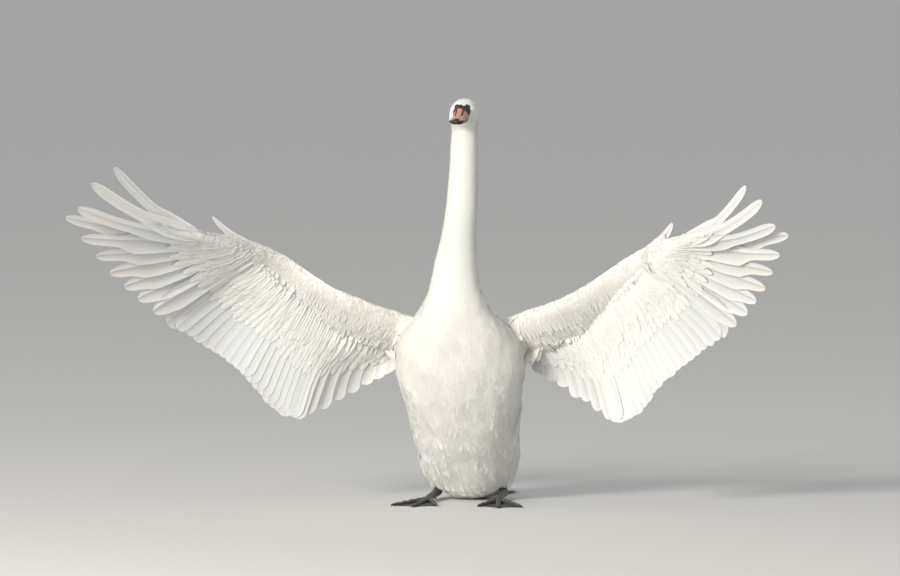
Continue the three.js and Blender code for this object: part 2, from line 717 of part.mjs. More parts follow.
// Body. Each piece ends GAP short of the next, where rows are about ROW_LENGTH apart.
const ROW_LENGTH = 50;
const gapRows = GAP / ROW_LENGTH;
const headGrown = headSolid(GAP);
const feet = foot();
const shanks = tarsus();
const shanksGrown = tarsus(GAP);
const tailFan = tail().subtract(floor);
const trunkSolid = (grow) => bodyPiece(0, NECK_ROW - gapRows, STRETCHES.trunk, CORNERS.trunk, grow);
const trunkGrown = trunkSolid(GAP);
place("trunk", cut(trunkSolid(0), floor, bothSides(shanksGrown)), "plumage");
NECK_PARTS.forEach(([name, from, to], i) => {
  const last = i === NECK_PARTS.length - 1;
  const piece = bodyPiece(from, last ? to : to - gapRows, STRETCHES.neck, CORNERS.neck);
  place(name, last ? cut(piece, headGrown) : piece, "plumage");
});

// Head.
const billGrown = upperBill(GAP).add(lowerBill(GAP));
const knobGrown = ellipsoid(KNOB, GAP);
const nailGrown = ellipsoid(NAIL, GAP);
const eyeBall = { ...EYE, length: EYE.radius, width: EYE.radius, height: EYE.radius };
place("head", cut(headSolid(), billGrown, knobGrown, bothSides(ellipsoid(eyeBall, GAP))), "plumage");
place("bill_upper", cut(upperBill(), knobGrown, nailGrown), "bill");
place("bill_knob", ellipsoid(KNOB), "black");
place("bill_lower", cut(lowerBill(), nailGrown), "black");
place("bill_nail", ellipsoid(NAIL), "black");
placePair("eye", ellipsoid(eyeBall), "eye");

// Wings. The flesh is cut by the trunk, and the feathers by the flesh.
const ARM_PIECES = [
  ["upper_arm", 0, FOREARM_ROW - gapRows, WING_STRETCHES.upperArm],
  ["forearm", FOREARM_ROW, HAND_ROW - gapRows, WING_STRETCHES.forearm],
  ["hand", HAND_ROW, ARM.length - 1, WING_STRETCHES.hand],
];
const armGrown = join(ARM_PIECES.map(([, ...rows]) => armPiece(...rows, GAP)));
ARM_PIECES.forEach(([name, ...rows]) => placePair(name, cut(armPiece(...rows), trunkGrown), "plumage"));
for (const [side, rise] of [["left", -1], ["right", 1]]) {
  const outer = cut(primaries(rise), armGrown);
  const middle = cut(secondaries(rise, 0, SECONDARIES / 2), armGrown);
  const inner = cut(secondaries(rise, SECONDARIES / 2, SECONDARIES), armGrown);
  const innermost = cut(tertials(), armGrown, trunkGrown);
  const sided = (made) => (side === "left" ? made : mirror(made));
  place(`primaries_${side}`, sided(outer), "vane");
  place(`secondaries_outer_${side}`, sided(middle), "vane");
  place(`secondaries_inner_${side}`, sided(inner), "vane");
  place(`tertials_${side}`, sided(innermost), "vane");
}
placePair("alula", cut(alula(), armGrown), "vane");

// Tail and legs.
place("tail", cut(tailFan, trunkGrown), "vane");
placePair("thigh", cut(thigh(), trunkGrown, shanksGrown, floor), "plumage");
placePair("tarsus", shanks, "leg");
placePair("foot", cut(feet, shanksGrown), "leg");

export default swan;
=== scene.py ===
"""Mute swan rearing up with its wings spread: skin, coat of feathers, bill, eyes, feet, light and camera."""

import math

import bmesh
import bpy
import numpy as np
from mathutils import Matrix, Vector
from mathutils.kdtree import KDTree


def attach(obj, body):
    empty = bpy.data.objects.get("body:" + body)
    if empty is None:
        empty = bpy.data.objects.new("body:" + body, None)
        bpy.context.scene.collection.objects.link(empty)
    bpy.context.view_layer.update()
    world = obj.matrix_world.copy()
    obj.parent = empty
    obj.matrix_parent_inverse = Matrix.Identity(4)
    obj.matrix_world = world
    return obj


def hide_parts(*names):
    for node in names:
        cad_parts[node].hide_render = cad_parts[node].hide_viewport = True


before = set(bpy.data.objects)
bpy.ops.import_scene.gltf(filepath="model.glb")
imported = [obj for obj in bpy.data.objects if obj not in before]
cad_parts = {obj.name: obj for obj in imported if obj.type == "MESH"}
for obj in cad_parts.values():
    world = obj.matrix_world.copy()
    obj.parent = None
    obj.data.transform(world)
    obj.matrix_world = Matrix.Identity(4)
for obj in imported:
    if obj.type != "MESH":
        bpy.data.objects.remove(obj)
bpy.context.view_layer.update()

MM = 0.001
SEAT = 88  # the sizes below are laid out, in millimetres, this far behind the middle of the belly's flat
RIGHT, LEFT = -1, 1  # the bird's own sides, as signs of X
SIDES = {"left": LEFT, "right": RIGHT}
WAVES = 7  # that add up to a ripple

# -------- the bird's sizes, as in the solids

# The middle of the body, from the tail's root to the neck's top: y and z.
SPINE = np.array(
    [(172, 24), (132, 44), (92, 76), (50, 116), (6, 168), (-38, 228), (-82, 293), (-124, 353), (-160, 407),
     (-187, 453), (-203, 499), (-206, 547), (-190, 603), (-152, 655), (-112, 706), (-82, 760), (-62, 815),
     (-51, 870), (-41, 922), (-34, 960)],
    float,
)
# The head's own frame: its origin, how far it bows, and places in it.
HEAD_AT = np.array((0, -10, 993), float)
HEAD_PITCH = math.radians(8.5)
EYE = {"forward": 74, "side": 17.5, "up": 9, "radius": 6.5}
# Bill, in the head's frame: forward, half width, height of the ridge over the cutting edge.
BILL = np.array(
    [(90, 19.5, 26), (108, 18.5, 24), (124, 17.5, 18.5), (142, 17.5, 13.5), (160, 19, 10), (172, 18.5, 8),
     (181, 14, 6), (186, 6, 3.5)],
    float,
)
BILL_EDGE = (-15, -9)  # height of the cutting edge at the bill's root and at its tip
BILL_TIP = 190
LOWER_BILL = {"inset": 2.2, "depth": 13, "start": 90, "end": 180}
KNOB = {"forward": 100.5, "length": 14.5, "width": 11, "height": 10}
NAIL = {"forward": 177, "length": 11, "width": 9.5, "height": 2, "hook": 3.5}
NOSTRIL = {"forward": 131, "side": 8.4, "length": 9, "width": 2.0, "depth": 1.8}
# The bare face starts before the eye, and widens upwards and downwards over its length.
BARE = {"start": 72, "length": 26, "top": 12.5, "bottom": 6.5, "rise": 6, "fall": 20}

ELBOW = np.array((305, -150, 458), float)
WRIST = np.array((487, -275, 640), float)
HAND_TIP = np.array((603, -455, 689), float)
# Flesh of the left wing: points of its leading edge and of its trailing edge, from the body outwards.
ARM_LEAD = np.array(
    [(70, -120, 455), (150, -138, 487), (228, -182, 515), (304, -206, 550), (372, -208, 596),
     (436, -222, 640), (496, -284, 668), (552, -372, 690), (604, -458, 704)],
    float,
)
ARM_TRAIL = np.array(
    [(70, -35, 360), (140, -60, 378), (222, -100, 400), (312, -128, 430), (392, -168, 492),
     (446, -208, 560), (503, -268, 606), (566, -352, 640), (615, -446, 676)],
    float,
)
ARM_MIDDLE = (ARM_LEAD + ARM_TRAIL) / 2
# Tips of the left wing's flight feathers, with each wing at the same height.
PRIMARY_TIPS = np.array(
    [(727, -399, 484), (758, -437, 517), (786, -477, 549), (812, -525, 585), (836, -582, 629),
     (862, -645, 676), (888, -698, 729), (858, -712, 752), (825, -702, 812), (779, -641, 846)],
    float,
)
PRIMARY_NOTCH = (0.9, 0.88, 0.86, 0.84, 0.8, 0.74, 0.8, 0.6, 0.56, 0.56)  # where each narrows to a finger
FINGER_WIDTH = (50, 30, 27)  # of the innermost, the middle and the outermost primary
SECONDARIES, TERTIALS = 20, 7
FIRST_PRIMARY = TERTIALS + SECONDARIES  # flight feathers count from the body to the wing's end
SECONDARY_TIPS = np.array(
    [(708, -364, 465), (612, -262, 388), (520, -226, 313), (452, -196, 232), (398, -176, 212)], float
)
TERTIAL_TIPS = np.array([(396, -176, 212), (326, -96, 246), (250, -44, 288), (178, -62, 330)], float)
TERTIAL_ROOTS = np.array([(311, -142, 436), (230, -96, 408), (150, -66, 392)], float)
ALULA = {"root": (487, -282, 656), "tip": (585, -352, 728), "bend": (6, -3, -9), "width": 13}
CLOSED_ALULA = {"shift": (-24, 0, -7), "width": 1.5}  # how the left wing's alula lies closer to the wing
# The way the upper side of the left wing's hand and of its arm faces.
HAND_FACE = np.array((0.51, 0.8, 0.26))
ARM_FACE = np.array((0.12, 0.98, 0.14))
# How much higher the right wing's tips are than the lists, and the left wing's lower.
RISE = {"primaries": (9, 16), "secondaries": 5}
TAIL = {"feathers": 22, "root": (0, 160, 22), "root_width": 56, "length": 212, "spread": 66, "lift": 6}
HOCK = (84, 66, 20)
TOE_ROOT = (88, -52, 12)
FOOT = {"middle": 148, "outer": 140, "inner": 116, "splay": 24, "turn": 7, "claw": 13}
FLOOR_GAP = 0.0003  # metres between the coat and the floor
SOLE_GAP = 0.15  # millimetres between the feet and the floor

# -------- small mathematics


def metres(points):
    """Layout millimetres to the frame's metres."""
    return (np.asarray(points, float) - (0, SEAT, 0)) * MM


def mirrored(points, side):
    """Points of the left wing, on the bird's given side."""
    return np.asarray(points, float) * (side, 1, 1)


def unit(v):
    """Vectors made one long."""
    v = np.asarray(v, float)
    return v / np.maximum(np.linalg.norm(v, axis=-1, keepdims=True), 1e-12)


def smooth(x, low, high):
    """0 below low, 1 above high, and a smooth step between them."""
    s = np.clip((np.asarray(x, float) - low) / (high - low), 0, 1)
    return s * s * (3 - 2 * s)


def spline(rows, t):
    """A uniform Catmull-Rom curve through rows, at each row number t."""
    rows = np.asarray(rows, float)
    if rows.ndim == 1:
        return spline(rows[:, None], t)[..., 0]
    t = np.asarray(t, float)
    padded = np.vstack([2 * rows[0] - rows[1], rows, 2 * rows[-1] - rows[-2]])
    i = np.clip(np.floor(t).astype(int), 0, len(rows) - 2)
    f = (t - i)[..., None]
    a, b, d, e = (padded[i + k] for k in range(4))
    slope, following = (d - a) / 2, (e - b) / 2
    cubic, square = 2 * b - 2 * d + slope + following, -3 * b + 3 * d - 2 * slope - following
    return ((cubic * f + square) * f + slope) * f + b


def bezier(root, tip, bend, t):
    """A quadratic line from root to tip, pulled aside by bend at its middle."""
    root, tip, bend = (np.asarray(v, float) for v in (root, tip, bend))
    middle = (root + tip) / 2 + 2 * bend
    t = np.asarray(t)[:, None]
    return root * (1 - t) ** 2 + 2 * middle * t * (1 - t) + tip * t**2


def bell(x, width, middle=0.0):
    """1 at the middle, falling off smoothly over width on both sides."""
    return np.exp(-(((x - middle) / width) ** 2))


def ripple(points, size, seed):
    """Smooth noise between about -1 and 1 over points, with bumps about size across."""
    rng = np.random.default_rng(seed)
    heading = unit(rng.normal(size=(WAVES, 3))) * rng.uniform(0.6, 1.5, (WAVES, 1))
    phase = rng.uniform(0, 2 * math.pi, WAVES)
    return np.sin(np.asarray(points) @ heading.T * (math.pi / size) + phase).sum(1) / math.sqrt(WAVES)


def walked(line):
    """How far along a line of points each of them is."""
    return np.concatenate([[0], np.cumsum(np.linalg.norm(np.diff(line, axis=0), axis=1))])


def closeness(points, others, reach):
    """Shares of the others at each point: they add up to 1, and fall off over reach past the nearest."""
    away = np.linalg.norm(points[:, None] - others, axis=2)
    near = bell(away - away.min(1, keepdims=True), reach)
    return near / near.sum(1, keepdims=True)


HEAD_FORWARD = np.array((0, -math.cos(HEAD_PITCH), -math.sin(HEAD_PITCH)))
HEAD_UP = np.array((0, -math.sin(HEAD_PITCH), math.cos(HEAD_PITCH)))


def in_head(forward, side, up):
    """A point of the head's own frame, as layout millimetres."""
    forward, side, up = np.broadcast_arrays(*(np.asarray(v, float) for v in (forward, side, up)))
    return HEAD_AT + forward[..., None] * HEAD_FORWARD + up[..., None] * HEAD_UP + side[..., None] * (1, 0, 0)


def of_head(points):
    """Forward, side and up in the head's own frame, in millimetres, of points in metres."""
    p = np.asarray(points) / MM + (0, SEAT, 0) - HEAD_AT
    return p @ HEAD_FORWARD, p[..., 0], p @ HEAD_UP


def on_head(points):
    """How far each point belongs to the head, from 0 on the neck to 1."""
    forward, _, up = of_head(points)
    return smooth(forward, -30, 5) * smooth(up, -60, -35)


def bare_face(points):
    """1 on the black bare skin between eye, knob and bill, and 0 on the feathers."""
    forward, _, up = of_head(points)
    reach = np.clip((forward - BARE["start"]) / BARE["length"], 0, 1.4)
    top, bottom = BARE["top"] + BARE["rise"] * reach, BARE["bottom"] - BARE["fall"] * reach
    inside = np.minimum(top - up, up - bottom)
    return smooth(np.minimum(inside, (forward - (BARE["start"] - 1)) * 1.5), -0.4, 0.6)


# -------- lie of the feathers


def body_line():
    """Points from the bill back over the head, down the neck and along the trunk to the tail."""
    head = in_head(np.linspace(BILL_TIP, 14, 24), 0, np.linspace(-6, -18, 24))
    trunk = spline(SPINE, np.linspace(len(SPINE) - 1, 0, 260))
    return metres(np.vstack([head, np.stack([0 * trunk[:, 0], trunk[:, 0], trunk[:, 1]], 1)]))


LINE = body_line()
LINE_RUN = unit(np.gradient(LINE, axis=0))
LINE_REACH = walked(LINE) / MM
CHUNK = 8000  # points worked out at a time, to save memory


def lie_of_body(points):
    """The way the feathers point, and how far each point is from the bill's tip, in millimetres."""
    heading, place = np.empty((len(points), 3)), np.empty(len(points))
    for start in range(0, len(points), CHUNK):
        part = slice(start, start + CHUNK)
        near = closeness(points[part], LINE, 0.012)
        heading[part] = near @ LINE_RUN
        place[part] = near @ LINE_REACH
    return unit(heading), place


def wing_lines(rise):
    """Roots, tips, bends and upper sides of the left wing's flight feathers, from the body outwards."""
    inner = (np.arange(TERTIALS)[::-1] + 0.5) / TERTIALS
    middle = (np.arange(SECONDARIES)[::-1] + 0.5) / SECONDARIES
    outer = np.linspace(0, 1, len(PRIMARY_TIPS))
    column = middle[:, None]
    roots = [
        spline(TERTIAL_ROOTS, inner * (len(TERTIAL_ROOTS) - 1)),
        WRIST + (ELBOW - WRIST) * (0.02 + 0.98 * column) + (8, 8, -22),
        WRIST + (HAND_TIP - WRIST) * (0.04 + 0.9 * outer[:, None]),
    ]
    primary_rise = rise * np.interp(outer, (0, 1), RISE["primaries"])
    tips = [
        spline(TERTIAL_TIPS, inner * (len(TERTIAL_TIPS) - 1)),
        spline(SECONDARY_TIPS, middle * (len(SECONDARY_TIPS) - 1))
        + (1 - column) * rise * RISE["secondaries"] * (0, 0, 1),
        PRIMARY_TIPS + primary_rise[:, None] * (0, 0, 1),
    ]
    finger = np.maximum(0, outer - 0.5) * 2
    bends = [
        np.tile((10.0, 14, 0), (FIRST_PRIMARY, 1)),
        np.array((-4, 10, -28)) * (0.15 + finger[:, None]),
    ]
    turn = smooth(np.arange(FIRST_PRIMARY + len(outer)), FIRST_PRIMARY - 6, FIRST_PRIMARY + 2)
    faces = unit(ARM_FACE + (HAND_FACE - ARM_FACE) * turn[:, None])
    return np.vstack(roots), np.vstack(tips), np.vstack(bends), faces


def lie_of_wing(points, side):
    """The way the wing's coverts point: as the nearest flight feathers do."""
    roots, tips, _, _ = wing_lines(0)
    near = closeness(mirrored(points, side), metres(roots), 0.05)
    return mirrored(unit(near @ unit(tips - roots)), side)


def on_wing(points):
    """How far each point belongs to a wing, from 0 on the trunk to 1."""
    return smooth(np.abs(points[:, 0]), 0.125, 0.175) * smooth(points[:, 2], 0.37, 0.40)


def lie(points):
    """The way the feathers point over body and wings."""
    heading, _ = lie_of_body(points)
    share = on_wing(points)[:, None]
    for side in SIDES.values():
        there = (share[:, 0] > 0) & (points[:, 0] * side > 0)
        if there.any():
            wing = lie_of_wing(points[there], side)
            heading[there] = unit(heading[there] * (1 - share[there]) + wing * share[there])
    return heading


# -------- meshes


def mesh_of(name, points, quads, triangles=()):
    """A mesh from arrays: points (n, 3), quads (n, 4) and triangles (n, 3)."""
    quads = np.asarray(quads, np.int32).reshape(-1, 4)
    triangles = np.asarray(triangles, np.int32).reshape(-1, 3)
    mesh = bpy.data.meshes.new(name)
    mesh.vertices.add(len(points))
    mesh.vertices.foreach_set("co", np.asarray(points, np.float32).ravel())
    mesh.loops.add(quads.size + triangles.size)
    mesh.loops.foreach_set("vertex_index", np.concatenate([quads.ravel(), triangles.ravel()]))
    mesh.polygons.add(len(quads) + len(triangles))
    starts = np.concatenate([np.arange(len(quads)) * 4, quads.size + np.arange(len(triangles)) * 3])
    mesh.polygons.foreach_set("loop_start", starts.astype(np.int32))
    mesh.update(calc_edges=True)
    mesh.polygons.foreach_set("use_smooth", np.ones(len(mesh.polygons), bool))
    return mesh


def corner_values(mesh, values):
    """Values of vertices, spread to the mesh's face corners."""
    index = np.empty(len(mesh.loops), np.int32)
    mesh.loops.foreach_get("vertex_index", index)
    return np.asarray(values)[index]


def set_number(mesh, name, values):
    """A number at each vertex, for the materials to read."""
    attribute = mesh.attributes.new(name, "FLOAT", "POINT")
    attribute.data.foreach_set("value", np.asarray(values, np.float32))


def set_vector(mesh, name, values):
    """A vector at each vertex, for the materials to read."""
    attribute = mesh.attributes.new(name, "FLOAT_VECTOR", "POINT")
    attribute.data.foreach_set("vector", np.asarray(values, np.float32).ravel())


def set_bake_map(mesh, uv):
    """The UV map that the coat's colours are baked by."""
    layer = mesh.uv_layers.new(name="OFBake")
    layer.data.foreach_set("uv", corner_values(mesh, uv).astype(np.float32).ravel())


def ring_quads(rings, around):
    """Quads between rings of around points each."""
    r, c = np.meshgrid(np.arange(rings - 1), np.arange(around), indexing="ij")
    here, beside = r * around + c, r * around + (c + 1) % around
    return np.stack([here, beside, beside + around, here + around], -1).reshape(-1, 4)


def placed(name, data):
    """A new object, put into the scene."""
    thing = bpy.data.objects.new(name, data)
    bpy.context.scene.collection.objects.link(thing)
    return thing


def piece(name, mesh, material, replaces=()):
    """Puts a mesh into the scene as a piece of the bird."""
    thing = placed(name, mesh)
    mesh.materials.append(material)
    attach(thing, "root")
    if replaces:
        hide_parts(*replaces)
    return thing


# -------- materials


class Shader:
    """A short way to write a material's nodes."""

    def __init__(self, name, roughness, **sockets):
        self.material = bpy.data.materials.new(name)
        self.material.use_nodes = True
        self.tree = self.material.node_tree
        self.main = self.tree.nodes["Principled BSDF"]
        self.main.inputs["Roughness"].default_value = roughness
        for socket, value in sockets.items():
            self.main.inputs[socket.replace("_", " ")].default_value = value

    def node(self, kind, **values):
        """A node, with its settings or unlinked sockets by name."""
        made = self.tree.nodes.new(f"ShaderNode{kind}")
        for key, value in values.items():
            if hasattr(made, key):
                setattr(made, key, value)
            else:
                made.inputs[key.replace("_", " ")].default_value = value
        return made

    def link(self, source, target):
        """Joins an output to an input."""
        self.tree.links.new(source, target)

    def noise(self, scale, detail, stretch=(1, 1, 1)):
        """Noise over the piece's own space."""
        place = self.node("TexCoord")
        mapping = self.node("Mapping", Scale=stretch)
        made = self.node("TexNoise", Scale=scale, Detail=detail)
        self.link(place.outputs["Object"], mapping.inputs["Vector"])
        self.link(mapping.outputs["Vector"], made.inputs["Vector"])
        return made.outputs["Fac"]

    def number(self, name):
        """A number that the mesh has at each vertex."""
        return self.node("Attribute", attribute_name=name).outputs["Fac"]

    def ramp(self, factor, low, high):
        """0 at low, rising to 1 at high."""
        made = self.node("MapRange", From_Min=low, From_Max=high)
        self.link(factor, made.inputs["Value"])
        return made.outputs["Result"]

    def mix(self, factor, first, second):
        """A colour between two, each a tuple or a socket."""
        made = self.node("Mix", data_type="RGBA")
        for name, value in (("A", first), ("B", second)):
            colour = [s for s in made.inputs if s.name == name and s.type == "RGBA"][0]
            if isinstance(value, tuple):
                colour.default_value = (*value, 1)
            else:
                self.link(value, colour)
        self.link(factor, made.inputs["Factor"])
        return [s for s in made.outputs if s.type == "RGBA"][0]

    def colour(self, source):
        """Gives the surface its colour."""
        self.link(source, self.main.inputs["Base Color"])

    def bump(self, height, depth, strength):
        """Gives the surface a relief too fine for the mesh, depth metres deep."""
        made = self.node("Bump", Strength=strength, Distance=depth)
        self.link(height, made.inputs["Height"])
        self.link(made.outputs["Normal"], self.main.inputs["Normal"])


WHITE = (0.935, 0.915, 0.865)
CREAM = (0.905, 0.855, 0.75)
COOL = (0.92, 0.91, 0.88)
# The vanes' whites are dimmed well below the body's: painted shade, so that the wings, which face the key
# lamp squarely, come out no brighter than the body.
VANE_WHITE = (0.655, 0.645, 0.62)
VANE_COOL = (0.61, 0.614, 0.62)
VANE_CREAM = (0.655, 0.62, 0.56)
# blue grey painted into each vane beside its shaft: painted shade
VANE_PAINTED_SHADE = (0.43, 0.445, 0.47)
BLACK = (0.012, 0.011, 0.012)
WORN_BLACK = (0.035, 0.034, 0.036)
PINKISH = (0.86, 0.84, 0.8)
SALMON = (0.43, 0.165, 0.105), (0.53, 0.28, 0.205)
IRIS = (0.02, 0.009, 0.005), (0.038, 0.017, 0.008)
PUPIL = (0.003, 0.003, 0.003)
SCALES = (0.035, 0.036, 0.04), (0.075, 0.075, 0.08)
DUSTY = (0.05, 0.047, 0.044)


def plume_material(name, shade=1.0):
    """White feathers: each a little creamier or cooler than the next, with fine barbs; shade dims all of
    them, as a painted shade.
    """
    shader = Shader(name, 0.65, Subsurface_Weight=0.4, Subsurface_Scale=0.007, Sheen_Weight=0.15,
                    Subsurface_Radius=(1, 0.9, 0.8), Specular_IOR_Level=0.25, Sheen_Roughness=0.4)
    white, cool, creamy = (tuple(c * shade for c in colour) for colour in (WHITE, COOL, CREAM))
    base = shader.mix(shader.ramp(shader.number("tint"), 0, 1.5), white, cool)
    shader.colour(shader.mix(shader.ramp(shader.noise(22, 4), 0.52, 1.72), base, creamy))
    shader.bump(shader.noise(900, 2), 0.0003, 0.35)
    return shader.material


def vane_material(name):
    """Flight feathers: smooth white vanes with slanting barbs, read from the place on the feather, and
    painted shade beside each shaft.
    """
    shader = Shader(name, 0.48, Subsurface_Weight=0.1, Subsurface_Scale=0.003, Specular_IOR_Level=0.4)
    shade = shader.mix(shader.number("tint"), VANE_WHITE, VANE_COOL)
    cream = shader.mix(shader.ramp(shader.noise(9, 3), 0.5, 0.9), shade, VANE_CREAM)
    # the vanes turn blue grey beside each shaft, by the dark number: painted shade
    shader.colour(shader.mix(shader.ramp(shader.number("dark"), 0, 1.6), cream, VANE_PAINTED_SHADE))
    place = shader.node("Attribute", attribute_name="vane").outputs["Vector"]
    wave = shader.node("TexWave", Scale=0.42, Distortion=1.2, Detail=2, Detail_Scale=0.6)
    shader.link(place, wave.inputs["Vector"])
    shader.bump(wave.outputs["Fac"], 0.00025, 0.45)
    return shader.material


def bare_material(name, light, roughness, grain):
    """Finely wrinkled skin, black where the mesh is dark and light elsewhere."""
    shader = Shader(name, roughness)
    shader.colour(shader.mix(shader.number("dark"), light, BLACK))
    shader.bump(shader.noise(grain, 4), 0.0003, 0.6)
    return shader.material


def bill_material(name):
    """Salmon orange with black edges, nostrils and base, finely grained."""
    shader = Shader(name, 0.42, Specular_IOR_Level=0.5)
    horn = shader.mix(shader.ramp(shader.noise(110, 4), 0.35, 0.75), *SALMON)
    shader.colour(shader.mix(shader.number("dark"), horn, BLACK))
    shader.bump(shader.noise(2200, 3, (1, 0.25, 1)), 0.0002, 0.5)
    return shader.material


def black_material(name, roughness=0.38):
    """Black horn and claws, a little worn."""
    shader = Shader(name, roughness)
    shader.colour(shader.mix(shader.ramp(shader.noise(240, 5), 0.45, 0.85), BLACK, WORN_BLACK))
    shader.bump(shader.noise(1500, 4), 0.0003, 0.7)
    return shader.material


def leg_material(name):
    """Blackish grey leather with fine scales."""
    shader = Shader(name, 0.5)
    scales = shader.node("TexVoronoi", Scale=420.0)
    shader.link(shader.node("TexCoord").outputs["Object"], scales.inputs["Vector"])
    tone = shader.mix(shader.ramp(scales.outputs["Distance"], 0.2, 0.9), *SCALES)
    shader.colour(shader.mix(shader.ramp(shader.noise(60, 4), 0.45, 0.8), tone, DUSTY))
    shader.bump(scales.outputs["Distance"], 0.0008, 0.8)
    return shader.material


def eye_material(name):
    """Dark brown iris round a black pupil, wet all over."""
    shader = Shader(name, 0.06, Coat_Weight=1.0, Coat_Roughness=0.02)
    iris = shader.mix(shader.ramp(shader.noise(900, 3), 0.3, 0.7), *IRIS)
    shader.colour(shader.mix(shader.number("dark"), iris, PUPIL))
    return shader.material


# -------- skin

GROWN = 1.0 * MM  # how far each flesh solid grows so that its neighbours fuse with it
VOXEL = 3.75 * MM
FLESH = ["trunk", "neck_lower", "neck_middle", "neck_upper", "head"] + [
    f"{part}_{side}" for part in ("upper_arm", "forearm", "hand", "thigh") for side in SIDES
]


# How deep the skin lies under the coat's outside, in millimetres.
DEPTH = {"body": 6.5, "neck": 2.8, "head": 1.0, "wing": 3.2}


def coat_depth(points):
    """How far the skin lies under the coat's outside, in metres: not at all on the bare face."""
    shares = {"neck": smooth(points[:, 2], 0.48, 0.62), "head": on_head(points), "wing": on_wing(points)}
    depth = np.full(len(points), DEPTH["body"])
    for part, share in shares.items():
        depth += (DEPTH[part] - depth) * share
    return depth * (1 - bare_face(points)) * MM


def neighbours_mean(values, edges, count):
    """The mean of each vertex's neighbours."""
    total = np.zeros_like(values)
    ends = np.concatenate([edges[:, 0], edges[:, 1]])
    others = np.concatenate([edges[:, 1], edges[:, 0]])
    for axis in range(3):
        total[:, axis] = np.bincount(ends, values[others, axis], minlength=count)
    return total / np.maximum(np.bincount(ends, minlength=count), 1)[:, None]


def read_points(mesh):
    """The vertices of a mesh."""
    points = np.empty(len(mesh.vertices) * 3)
    mesh.vertices.foreach_get("co", points)
    return points.reshape(-1, 3)


def read_normals(mesh):
    """The normals of a mesh's vertices."""
    normals = np.empty(len(mesh.vertices) * 3, np.float32)
    mesh.vertex_normals.foreach_get("vector", normals)
    return normals.reshape(-1, 3).astype(float)


def move_points(mesh, points):
    """Puts a mesh's vertices at points."""
    mesh.vertices.foreach_set("co", points.astype(np.float32).ravel())
    mesh.update()


def fused_flesh():
    """The flesh solids grown a little and fused into one closed mesh."""
    joined = bmesh.new()
    for name in FLESH:
        part = bmesh.new()
        part.from_mesh(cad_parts[name].data)
        bmesh.ops.remove_doubles(part, verts=part.verts, dist=0.00002)
        part.normal_update()
        for vertex, normal in [(v, v.normal.copy()) for v in part.verts]:
            vertex.co += normal * GROWN
        held = bpy.data.meshes.new("held")
        part.to_mesh(held)
        joined.from_mesh(held)
        part.free()
    mesh = bpy.data.meshes.new("flesh")
    joined.to_mesh(mesh)
    joined.free()
    thing = placed("flesh", mesh)
    remesh = thing.modifiers.new("fuse", "REMESH")
    remesh.mode, remesh.voxel_size = "VOXEL", VOXEL
    made = bpy.data.meshes.new_from_object(thing.evaluated_get(bpy.context.evaluated_depsgraph_get()))
    bpy.data.objects.remove(thing)
    return made


def relax(mesh, rounds, weight):
    """Laplacian smoothing, by weight at each vertex."""
    edges = np.empty(len(mesh.edges) * 2, np.int32)
    mesh.edges.foreach_get("vertices", edges)
    edges = edges.reshape(-1, 2)
    points = read_points(mesh)
    for _ in range(rounds):
        points += (neighbours_mean(points, edges, len(points)) - points) * weight[:, None]
    move_points(mesh, points)


# Relief of the skin: bump size in metres, seed, and height in millimetres.
FOLDS = ((0.05, 11, 1.6), (0.022, 12, 0.7))
DOWN = (0.0085, 13, 0.24)


def make_skin(material):
    """One skin over trunk, neck, head, wings' flesh and thighs, under the coat by its depth."""
    mesh = fused_flesh()
    points = read_points(mesh)
    fine = np.maximum(on_head(points), 0.8 * smooth(np.abs(points[:, 0]), 0.42, 0.5))
    relax(mesh, 24, 0.6 * (1 - 0.85 * fine))
    points, normals = read_points(mesh), read_normals(mesh)
    points -= normals * (coat_depth(points) + GROWN)[:, None]
    folds = sum(height * ripple(points, size, seed) for size, seed, height in FOLDS)
    calm = 1 - 0.9 * smooth(points[:, 2], 0.5, 0.6)
    size, seed, height = DOWN
    downy = height * ripple(points, size, seed) * (1 - fine)
    points += normals * ((folds * calm + downy) * MM)[:, None]
    points[:, 2] = np.maximum(points[:, 2], FLOOR_GAP + 0.0001)
    move_points(mesh, points)
    mesh.polygons.foreach_set("use_smooth", np.ones(len(mesh.polygons), bool))
    set_number(mesh, "dark", bare_face(points))
    return piece("skin", mesh, material, FLESH)


def tree_of(points):
    """A tree that finds the nearest of points."""
    tree = KDTree(len(points))
    for i, point in enumerate(points.tolist()):
        tree.insert(point, i)
    tree.balance()
    return tree


CROWD = 5.0  # points tried for each root that there is room for
SUNK_MEAN = 6  # vertices that stand for the skin under a point


